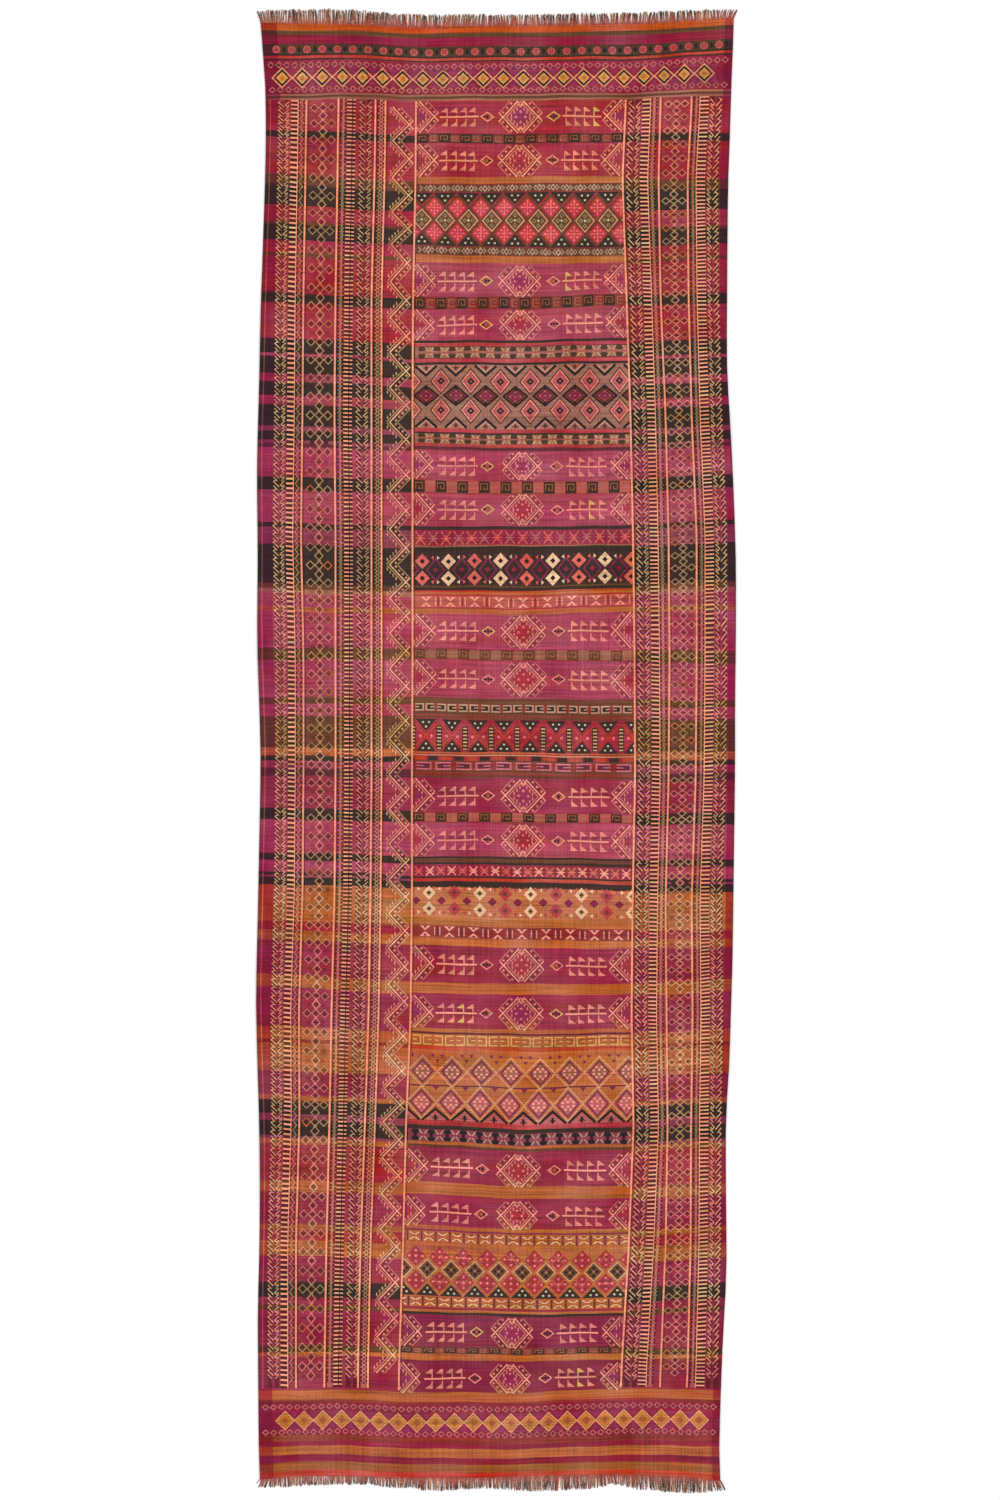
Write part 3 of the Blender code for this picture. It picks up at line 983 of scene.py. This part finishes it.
def butterflyRow(cloth, top, bottom, period, ground, dark, light, heart, joined=False):
    v = (top + bottom) / 2
    half = (bottom - top) / 2
    places, step = repeatAcross(v, period)
    for u in places:
        cloth.block(u, v, step / 2 + 0.1, half - 0.5, ground, -1)
        for way in (-1, 1):
            w = v + way * half * 0.56
            cloth.patch([(u - 4.3, w), (u - 2.4, w - 2.1), (u + 2.4, w - 2.1), (u + 4.3, w),
                         (u + 2.4, w + 2.1), (u - 2.4, w + 2.1)], dark)
        if joined:
            cloth.block(u, v, 1.5, half * 0.5, dark)
        edge = u + step / 2
        for way in (-1, 1):
            cloth.stroke([(edge - 4.2, v - way * half * 0.8), (edge + 4.2, v + way * half * 0.8)], light, 1.15)
        cloth.block(edge, v, 1.3, 1.0, heart, 1)
        cloth.block(u - 2.4, v, 0.9, 0.8, heart, 1)
        cloth.block(u + 2.4, v, 0.9, 0.8, heart, 1)


def scrollRow(cloth, top, bottom, period, yarn, inner):
    v = (top + bottom) / 2
    half = (bottom - top) / 2 - 1.0
    for k, u in enumerate(repeatAcross(v, period)[0]):
        side = 1 if k % 2 else -1
        wide = period * 0.36
        cloth.block(u, v, wide * 0.7, half * 0.7, inner)
        cloth.stroke([(u + side * wide, v - half), (u - side * wide, v - half), (u - side * wide, v + half),
                      (u + side * wide, v + half)], yarn, 1.3, 1)
        cloth.stroke([(u + side * wide, v - half * 0.1), (u, v)], yarn, 1.1, 1)


def boxedRow(cloth, top, bottom, first, period, bar, yarn, heart):
    v = (top + bottom) / 2
    half = (bottom - top) / 2 - 0.8
    for u in placesFrom(v, first, period):
        cloth.block(u, v, 0.8, half + 0.4, bar, 1)
        for way in (-1, 1):
            cloth.stroke([(u + period * 0.16, v - way * half * 0.85), (u + period / 2, v - way * half * 0.2),
                          (u + period * 0.84, v - way * half * 0.85)], yarn, 1.1)
        cloth.block(u + period / 2, v, 1.1, 1.0, heart, 1)


def starRow(cloth, top, bottom, period, first, second):
    v = (top + bottom) / 2
    half = (bottom - top) / 2 - 1.0
    for k, u in enumerate(repeatAcross(v, period)[0]):
        yarn = first if k % 2 else second
        wide = period * 0.36
        for way in (-1, 1):
            cloth.stroke([(u - wide, v - way * half), (u + wide, v + way * half)], yarn, 1.3)
        cloth.stroke([(u - wide, v), (u + wide, v)], yarn, 1.1)
        cloth.diamond(u, v, wide * 0.5, half * 0.5, yarn, 0, 1)


def pinstripe(cloth, v, yarn, wide=1.0):
    first, last = acrossField(v, 1.0)
    cloth.stroke([(first, v), (last, v)], yarn, wide)


def dottedTriangles(cloth, places, edge, way, halfWide, high, ground="coal", dots="mint"):
    for u in places:
        cloth.patch([(u - halfWide, edge), (u + halfWide, edge), (u, edge + way * high)], ground, 1)
        for du, dv in ((-3, 0.27), (3, 0.27), (0, 0.63)):
            cloth.block(u + du, edge + way * dv * high, 1.0, 0.9, dots, 2)


def rosette(cloth, u, v, halfU, halfV, ground, edge="brown"):
    cloth.diamond(u, v, halfU, halfV, ground)
    cloth.diamond(u, v, halfU, halfV, edge, 2.3, 1)
    cloth.stroke([(u - halfU * 0.62, v), (u + halfU * 0.62, v)], "pink", 1.0, 1)
    cloth.stroke([(u, v - halfV * 0.6), (u, v + halfV * 0.6)], "pink", 1.0, 1)
    for row in (-1, 0, 1):
        for column in (-1, 0, 1):
            cloth.diamond(u + (column - row) * halfU * 0.26, v + (column + row) * halfV * 0.25, 1.5, 1.5, "pink", 0, 2)


def oliveDiamond(cloth, u, v, halfU, halfV):
    cloth.diamond(u, v, halfU, halfV, "brown", 0, 1)
    cloth.diamond(u, v, halfU, halfV, "sand", 1.2, 2)
    for du, dv in ((-0.42, 0), (0.42, 0), (0, -0.46), (0, 0.46)):
        cloth.diamond(u + du * halfU, v + dv * halfV, 2.2, 2.5, "moss", 0, 2)
        cloth.diamond(u + du * halfU, v + dv * halfV, 0.9, 1.0, "coal", 0, 3)
    cloth.diamond(u, v, 1.4, 1.5, "mint", 0, 3)


def flowerPanel(cloth, top, rosetteAt, oliveAt, period):
    # two rows of rosettes with olive diamonds between, and dotted triangles at both edges
    upper, lower = top + 16.0, top + 42.0
    middle = (upper + lower) / 2
    for u in placesFrom(middle, rosetteAt, period):
        for v in (upper, lower):
            rosette(cloth, u, v, period * 0.48, 12.8, "ruby")
    for u in placesFrom(middle, oliveAt, period):
        oliveDiamond(cloth, u, middle, 9.2, 10.8)
    for edge, way in ((top + 0.5, 1), (top + 55.5, -1)):
        dottedTriangles(cloth, placesFrom(middle, oliveAt, period), edge, way, period / 2 - 0.3, 12.5, "night")


def lowerFlowers(cloth, rosetteAt, oliveAt, period):
    # the same figures further down, closer together on ochre, with dotted triangles along the lower edge only
    for u in placesFrom(1272, oliveAt, period):
        for side in (-1, 1):
            cloth.stroke([(u - side * 12, 1256), (u, 1268 + 4), (u + side * 12, 1256 + 32)], "brick", 1.4)
            cloth.stroke([(u, 1250), (u + side * 11, 1259)], "brick", 1.2)
        cloth.diamond(u, 1272.5, 9.2, 9.2, "brown", 0, 1)
        cloth.diamond(u, 1272.5, 9.2, 9.2, "sand", 1.2, 2)
        for du, dv in ((-3.6, 0), (3.6, 0), (0, -3.8), (0, 3.8)):
            cloth.diamond(u + du, 1272.5 + dv, 1.7, 1.9, "coal", 0, 2)
        cloth.diamond(u, 1272.5, 1.4, 1.4, "moss", 0, 3)
    for u in placesFrom(1272, rosetteAt, period):
        for v in (1260.5, 1284.5):
            cloth.diamond(u, v, 10.4, 10.2, "crimson")
            for du, dv in ((0, 0), (-6.6, 0), (6.6, 0), (0, -5.4), (0, 5.4)):
                cloth.diamond(u + du, v + dv, 1.7, 1.6, "pink", 0, 1)
            cloth.stroke([(u - 6, v), (u + 6, v)], "coral", 0.9)
    dottedTriangles(cloth, placesFrom(1272, oliveAt, period), 1298.6, -1, 11.4, 11.5, "night")


def chevronPanel(cloth, top, bottom, first, period):
    # black chevrons above and below, rose diamonds and black edged crimson ones between
    middle = (top + bottom) / 2 - 1
    for u in placesFrom(middle, first, period):
        for edge, way in ((top, 1), (bottom, -1)):
            cloth.patch([(u - 9.5, edge), (u + 9.5, edge), (u, edge + way * 8.4)], "petal")
            cloth.stroke([(u - 10.8, edge), (u, edge + way * 9.8), (u + 10.8, edge)], "coal", 2.4, 1)
            cloth.stroke([(u - 7.6, edge), (u, edge + way * 6.9), (u + 7.6, edge)], "fawn", 1.1, 1)
            cloth.stroke([(u, edge), (u, edge + way * 4.6)], "moorit", 1.9, 2)
            cloth.stroke([(u - 2.6, edge + way * 1.4), (u, edge + way * 3.4), (u + 2.6, edge + way * 1.4)], "moorit", 1.1, 2)
        cloth.diamond(u, middle, 12.3, 10.2, "crimson")
        cloth.diamond(u, middle, 12.0, 10.0, "coal", 2.0, 1)
        cloth.diamond(u, middle, 8.2, 6.8, "moorit", 1.5, 1)
        cloth.diamond(u, middle, 4.6, 4.0, "purple", 0, 1)
        for du, dv in ((0, 0), (-5.2, 0), (5.2, 0), (0, -4.6), (0, 4.6)):
            cloth.block(u + du, middle + dv, 0.9, 0.8, "petal", 2)
        for dv in (-7.6, 7.6):
            cloth.block(u, middle + dv, 1.4, 1.6, "coal", 2)
    for u in placesFrom(middle, first + period / 2, period):
        for v in (middle - 14.6, middle + 14.8):
            cloth.diamond(u, v, 9.8, 12.6, "petal")
            cloth.diamond(u, v, 10.2, 12.8, "moorit", 1.2, 1)
            cloth.diamond(u, v, 8.8, 11.0, "blossom", 0.8, 1)
            cloth.diamond(u, v, 6.6, 8.4, "scarlet", 0.8, 1)
            cloth.stroke([(u, v - 11), (u, v + 11)], "scarlet", 0.9, 1)
            cloth.diamond(u, v, 4.0, 3.8, "coal", 0, 2)
            cloth.block(u, v, 1.0, 0.9, "petal", 3)


def gemPanel(cloth, first, second, gemAt, period, gems, halfU, halfV, spot, flag, spotHalf, spotAt):
    # two rows of outlined diamonds in turn, each with small flags at its sides
    for v in (first, second):
        places = placesFrom(v, gemAt, period)
        for u in places:
            yarn = gems[round((u - gemAt) / period) % len(gems)]
            cloth.diamond(u, v, halfU, halfV, yarn, 0, 1)
            cloth.diamond(u, v, 2.7, 2.8, spot, 0, 2)
            far = -1 if v == first else 1
            for side in (-1, 1):
                cloth.patch([(u + side * 8.6, v + far * 4.0), (u + side * 11.4, v + far * 1.8),
                             (u + side * 11.4, v + far * 6.2)], yarn, 1)
                cloth.block(u + side * 4.6, v + far * 5.6, 1.2, 1.0, flag, 1)
    middle = (first + second) / 2
    for u in placesFrom(middle, spotAt, period):
        cloth.diamond(u, middle, spotHalf[0], spotHalf[1], "purple", 2.0)
        cloth.diamond(u, middle, 3.0, 3.0, "magenta", 0, 1)


def ladderPanel(cloth, top, bottom, triangleAt, ladderAt, period):
    places = placesFrom(top + 20, triangleAt, period)
    dottedTriangles(cloth, places, top + 0.8, 1, 10, 12, "night")
    dottedTriangles(cloth, places, top + 32.5, -1, 10, 12, "night")
    for u in places:
        for side in (-1, 1):
            cloth.stroke([(u - side * 11, top + 6), (u, top + 17), (u + side * 11, top + 28)], "ember", 1.5)
            cloth.diamond(u + side * 5.5, top + 17.5, 1.9, 1.9, "pink", 0, 2)
    for u in placesFrom(top + 20, ladderAt, period):
        cloth.block(u, top + 19, 2.8, 12, "night", 2)
        for k in range(7):
            cloth.block(u, top + 9 + k * 3.4, 2.0, 0.7, "sand", 3)
    v = top + 33.4
    pinstripe(cloth, v, "amber", 1.2)
    pinstripe(cloth, v + 2.4, "sand", 0.8)
    for k, u in enumerate(repeatAcross(v + 6, 13)[0]):
        cloth.block(u, v + 5.6, 5.0, 2.0, "night" if k % 2 else "ember")


def hookPanel(cloth, top):
    # purple diamonds filled with pale hooks in two rows on a pale lattice, dark roofs with a small tree below them
    rows = ((422.2, 29.4, top + 19.0, 10.0, 11.2, "tan"), (421.0, 29.3, top + 50.8, 10.6, 12.4, "petal"))
    for first, period, v, halfU, halfV, ground in rows:
        for u in placesFrom(v, first, period):
            cloth.diamond(u, v, halfU + 1.4, halfV + 1.6, ground, 0, -1)
            cloth.diamond(u, v, period / 2 + 0.3, halfV + 4.4, 0.42, 1.5)
            cloth.diamond(u, v, halfU, halfV, "purple", 1.5, 1)
            for du, dv in ((2.6, 5.0), (5.4, 1.9), (0.0, 2.4)):
                for side in (-1, 1):
                    cloth.block(u + side * du, v + dv, 1.2, 1.1, "blossom", 2)
                    cloth.block(u + side * du, v - dv, 1.2, 1.1, "blossom", 2)
    for u in placesFrom(top + 5, 422.2 + 14.7, 29.4):
        for du, dv in ((-4.6, 3.2), (4.6, 3.2), (0, 8.6)):
            cloth.patch([(u + du - 2, top + dv - 1.6), (u + du + 2, top + dv - 1.6), (u + du, top + dv + 1.8)], "purple")
    pinstripe(cloth, top + 33.4, "wine", 1.5)
    for u in placesFrom(top + 35, 435.6, 29.4):
        cloth.patch([(u - 3.9, top + 33.6), (u + 3.9, top + 33.6), (u, top + 38.2)], "purple", 1)
    edge = top + 69.5
    for u in placesFrom(edge, 434.9, 29.3):
        cloth.patch([(u - 11.5, edge), (u + 11.5, edge), (u, edge - 10)], "petal", 1)
        cloth.stroke([(u - 13.5, edge), (u, edge - 12.2), (u + 13.5, edge)], "coal", 2.4, 2)
        cloth.stroke([(u, edge), (u, edge - 6)], "coal", 2.4, 2)
        cloth.stroke([(u - 3, edge - 1.6), (u, edge - 4.4), (u + 3, edge - 1.6)], "coal", 1.1, 3)


def weaveBands(material):
    cloth = Brocade("fieldBands", 14, fieldTable)
    meander(cloth, 134.5, 144, "night", "rust")
    bowRow(cloth, 184, 192, 13.2, "fawn", "brown")
    flowerPanel(cloth, 192, 433.9, 421.3, 23.3)
    bowRow(cloth, 248, 256.5, 13.2, "fawn", "brown")
    meander(cloth, 297, 309.6, "night", "rust")
    butterflyRow(cloth, 346.5, 358.6, 15.7, "beige", "moorit", "sand", "scarlet")
    chevronPanel(cloth, 366, 429, 425.6, 29.75)
    butterflyRow(cloth, 435, 445, 15.7, "beige", "moorit", "sand", "scarlet")
    meander(cloth, 481.5, 494.5, "night", "brick")
    starRow(cloth, 530.5, 545, 13.0, "petal", "coral")
    gemPanel(cloth, 561, 578.5, 421.8, 26.1, ("coral", "cream"), 7.4, 8.0, "coal", "wine", (8.6, 11.5), 435.2)
    hourglassRow(cloth, 597, 608.6, 24, "blossom", "brick", "crimson")
    meander(cloth, 650, 661, "brown", "tan", "tan")
    scrollRow(cloth, 705, 713, 11.0, "fawn", "night")
    ladderPanel(cloth, 720, 761, 425.5, 438.6, 26.0)
    scrollRow(cloth, 762.4, 770.7, 20.0, "orchid", "wine")
    meander(cloth, 812.8, 822.8, "night", "brick")
    starRow(cloth, 866, 877, 11.0, "blossom", "coral")
    gemPanel(cloth, 894, 911, 428.5, 25.4, ("cream", "scarlet"), 6.8, 7.6, "brown", "amber", (3.2, 3.0), 441.0)
    hourglassRow(cloth, 928.5, 940, 24, "blossom", "wine", "wine")
    scrollRow(cloth, 1037, 1047.5, 11.0, "straw", "ochre")
    hookPanel(cloth, 1055)
    butterflyRow(cloth, 1133.4, 1146.4, 16.4, "dustyRose", "coal", "fawn", "heather", True)
    boxedRow(cloth, 1235.4, 1246, 421.2, 14.1, "purple", "cream", "ember")
    lowerFlowers(cloth, 415.4, 426.8, 23.75)
    boxedRow(cloth, 1299.4, 1309.4, 408.0, 14.3, "wine", "cream", "ember")
    meander(cloth, 1348.4, 1355, "night", "rust", "tan")
    return cloth.finish(material, 3)


def acrossCloth(v, period, inset=3.0):
    first, last = float(sideU("left", v)) + inset, float(sideU("right", v)) - inset
    count = round((last - first) / period)
    return [first + (last - first) * (k + 0.5) / count for k in range(count)]


def ringRow(cloth, v, period, yarn):
    for u in acrossCloth(v, period):
        cloth.diamond(u, v, 3.0, 2.6, yarn, 1.15)
        if u + period < float(sideU("right", v)):
            cloth.diamond(u + period / 2, v + 0.6, 1.5, 1.4, "purple")


def jewelRow(cloth, v, period, first, dark):
    left, right = float(sideU("left", v)) + period / 2, float(sideU("right", v)) - period / 2
    count = int((first - left) / period)
    for k in range(-count - 1, int((right - first) / period) + 2):
        u = first + period * k
        if not left < u < right:
            continue
        half = period / 2
        cloth.diamond(u, v, half - 0.2, 9.2, "honey", 1.15)
        for way in (-1, 1):
            if u + half + 5 < right:
                cloth.patch([(u + half - 5, v + way * 8.8), (u + half + 5, v + way * 8.8),
                             (u + half, v + way * 3.4)], "heather")
            if dark:
                cloth.stroke([(u - 5.2, v + way * 2.6), (u, v + way * 7.0), (u + 5.2, v + way * 2.6)], "coal", 1.5, 1)
        if dark:
            cloth.diamond(u, v, 5.0, 5.0, "gold", 0, 1)
            cloth.diamond(u, v, 5.0, 5.0, "straw", 0.9, 2)
            cloth.diamond(u, v, 2.0, 2.0, "amber", 0, 2)
        else:
            cloth.diamond(u, v, half - 1.2, 8.2, "amber")
            cloth.diamond(u, v, half - 3.0, 6.0, "gold", 1.4, 1)
            cloth.diamond(u, v, 3.0, 3.0, "oak", 0, 1)


def weaveTopPanel(material):
    cloth = Brocade("topPanel", 15, sideTable)
    ring = [(math.cos(k * math.pi / 4) * 3.2, math.sin(k * math.pi / 4) * 3.2) for k in range(8)]
    for u in acrossCloth(51.3, 15.3, 6.0):
        cloth.stroke([(u + du, 51.3 + dv) for du, dv in ring], "brick", 1.7, 0, closed=True)
        cloth.diamond(u, 51.3, 2.3, 2.3, "scarlet", 0, 1)
        if u + 12 < float(sideU("right", 51.3)):
            cloth.diamond(u + 7.6, 51.3, 2.0, 3.4, "coal")
    ringRow(cloth, 66.4, 8.0, "petal")
    jewelRow(cloth, 78.6, 20.1, 321.9, True)
    ringRow(cloth, 89.8, 8.0, "petal")
    return cloth.finish(material, 4)


def weaveBottomPanel(material):
    cloth = Brocade("bottomPanel", 16, sideTable)
    ringRow(cloth, 1409.2, 8.0, "petal")
    jewelRow(cloth, 1422.8, 18.8, 341.2, False)
    ringRow(cloth, 1434.8, 8.0, "petal")
    return cloth.finish(material, 4)


fringe = {"yarnsAcross": 520, "inside": 0.003, "radius": 0.00122, "turns": 2.5, "steps": 9, "scatter": 0.006,
          "rootDeep": 0.014, "rootStain": 0.5}
fringeYarns = ("fawn", "tan", "beige", "tan", "walnut", "brown", "sand", "honey", "ember", "moorit")


def tipReach(node):
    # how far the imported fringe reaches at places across
    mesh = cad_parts[node].data
    tips = {}
    for p in mesh.vertices:
        key = round(p.co.x / 0.008)
        if abs(p.co.y) > abs(tips.get(key, (0, 0))[1]):
            tips[key] = (p.co.x, p.co.y)
    rows = sorted(tips.values())
    return np.array([r[0] for r in rows]), np.array([r[1] for r in rows])


def warpFringe(name, node, end, outward, seed, material):
    # cut warp ends of two plies twisted together, lying on the floor and leaning in groups
    rng = random.Random(seed)
    endX, endY = outline[end]
    tipX, tipY = tipReach(node)
    curve = bpy.data.curves.new(name, "CURVE")
    curve.dimensions = "3D"
    curve.bevel_depth = 1.0
    curve.bevel_resolution = 1
    curve.use_fill_caps = True
    colours = []
    count = fringe["yarnsAcross"]
    lean = 0.0
    for k in range(count):
        share = (k + 0.5) / count
        x0 = endX[0] + (endX[-1] - endX[0]) * share
        y0 = np.interp(x0, endX, endY) - outward * fringe["inside"]
        edge = max(0.0, abs(share - 0.5) * 2 - 0.93) / 0.07
        lean = 0.82 * lean + rng.uniform(-0.0022, 0.0022)
        x1 = x0 + lean + math.copysign(0.011 * edge ** 2, share - 0.5) + rng.uniform(-0.002, 0.002)
        y1 = np.interp(x1, tipX, tipY) - outward * abs(rng.gauss(0, fringe["scatter"] * 0.5))
        thick = fringe["radius"] * rng.uniform(0.8, 1.15)
        spin = rng.uniform(0, 2 * math.pi)
        bend = rng.uniform(-0.0015, 0.0015)
        # each yarn darkened by a random share: partly the yarns' own tone, partly painted shade between the yarns
        tone = rng.uniform(0.3, 1.1)
        colour = yarnColours[rng.choice(fringeYarns)] * tone
        for ply in (0, math.pi):
            spline = curve.splines.new("POLY")
            spline.points.add(fringe["steps"] - 1)
            for n, point in enumerate(spline.points):
                t = n / (fringe["steps"] - 1)
                turn = spin + ply + t * fringe["turns"] * 2 * math.pi
                loose = 1.0 + 0.5 * max(0.0, t - 0.75) / 0.25
                side = math.cos(turn) * thick * 0.5 * loose
                up = math.sin(turn) * thick * 0.5 * loose
                x = x0 + (x1 - x0) * t + bend * math.sin(math.pi * t) + side
                y = y0 + (y1 - y0) * t
                z = 0.0009 * (1 - t) + thick * 1.2 + 0.00015 + up
                point.co = (x, y, z, 1.0)
                point.radius = thick * 0.62 * (1.0 - 0.25 * max(0.0, t - 0.8) / 0.2)
            colours.append(colour)
    holder = bpy.data.objects.new(name + "Path", curve)
    bpy.context.scene.collection.objects.link(holder)
    bpy.context.view_layer.update()
    mesh = bpy.data.meshes.new_from_object(holder.evaluated_get(bpy.context.evaluated_depsgraph_get()))
    bpy.data.objects.remove(holder, do_unlink=True)
    bm = bmesh.new()
    bm.from_mesh(mesh)
    bpy.data.meshes.remove(mesh)
    bmesh.ops.recalc_face_normals(bm, faces=bm.faces)
    layer = bm.faces.layers.float_color.new("yarn")
    each = len(bm.faces) // len(colours)
    print(name, "has", len(bm.faces), "faces,", each, "a ply")
    for index, face in enumerate(bm.faces):
        colour = colours[min(index // each, len(colours) - 1)]
        middle = face.calc_center_median()
        out = (middle.y - float(np.interp(middle.x, endX, endY))) * outward / fringe["rootDeep"]
        stain = fringe["rootStain"] * min(1.0, max(0.0, 1.4 - out))
        face[layer] = (*(colour * (1 - stain) + yarnColours["coral"] * stain), 1.0)
    piece = addPiece(name, bm, material)
    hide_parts(node)
    return piece


def dressStage():
    bm = bmesh.new()
    bmesh.ops.create_grid(bm, x_segments=1, y_segments=1, size=12.0)
    mesh = bpy.data.meshes.new("studioFloor")
    bm.to_mesh(mesh)
    bm.free()
    floor = bpy.data.objects.new("studioFloor", mesh)
    floor.location.z = -0.0002
    bpy.context.scene.collection.objects.link(floor)
    finish = Finish("paleFloor")
    finish.shader.inputs["Base Color"].default_value = (0.95, 0.95, 0.95, 1.0)
    finish.shader.inputs["Roughness"].default_value = 0.9
    finish.shader.inputs["Specular IOR Level"].default_value = 0.1
    mesh.materials.append(finish.material)


lights = {"sky": 0.68, "key": 1.3, "fill": 0.5}


def lightStudio():
    world = bpy.data.worlds.new("studio")
    world.use_nodes = True
    world.node_tree.nodes["Background"].inputs["Strength"].default_value = lights["sky"]
    world.node_tree.nodes["Background"].inputs["Color"].default_value = (1.0, 1.0, 1.0, 1.0)
    bpy.context.scene.world = world
    for name, energy, tilt, turn, spread in (
        ("keyLight", lights["key"], 38, 140, 40), ("fillLight", lights["fill"], 50, -40, 60)
    ):
        lamp = bpy.data.lights.new(name, "SUN")
        lamp.energy = energy
        lamp.angle = math.radians(spread)
        item = bpy.data.objects.new(name, lamp)
        item.rotation_euler = (math.radians(tilt), 0.0, math.radians(turn))
        bpy.context.scene.collection.objects.link(item)


view = {"frameHigh": 3.75, "lens": 60.0, "sensor": 24.0, "x": 0.01, "y": 0.0025}


def placeCamera():
    data = bpy.data.cameras.new("overhead")
    data.sensor_fit = "VERTICAL"
    data.sensor_height = view["sensor"]
    data.lens = view["lens"]
    data.clip_end = 60.0
    camera = bpy.data.objects.new("overhead", data)
    camera.location = (view["x"], view["y"], view["frameHigh"] * view["lens"] / view["sensor"])
    bpy.context.scene.collection.objects.link(camera)
    bpy.context.scene.camera = camera
    bpy.context.scene.view_settings.view_transform = "Standard"


placeCamera()
lightStudio()
dressStage()
groundWool = woolFinish("groundWool", 0.9, 0.7)
brocadeWool = woolFinish("brocadeWool", 0.7, 0.35)
warpWool = woolFinish("warpWool", 0.5, 0.2, woven=False)
groundCloth = weaveCloth(groundWool)
figures = [
    weaveLeftColumns(brocadeWool),
    weaveRightColumns(brocadeWool),
    weavePlants(brocadeWool),
    weaveBands(brocadeWool),
    weaveTopPanel(brocadeWool),
    weaveBottomPanel(brocadeWool),
]
fringes = [
    warpFringe("topFringeYarn", "top_fringe", "top", 1, 21, warpWool),
    warpFringe("bottomFringeYarn", "bottom_fringe", "bottom", -1, 22, warpWool),
]
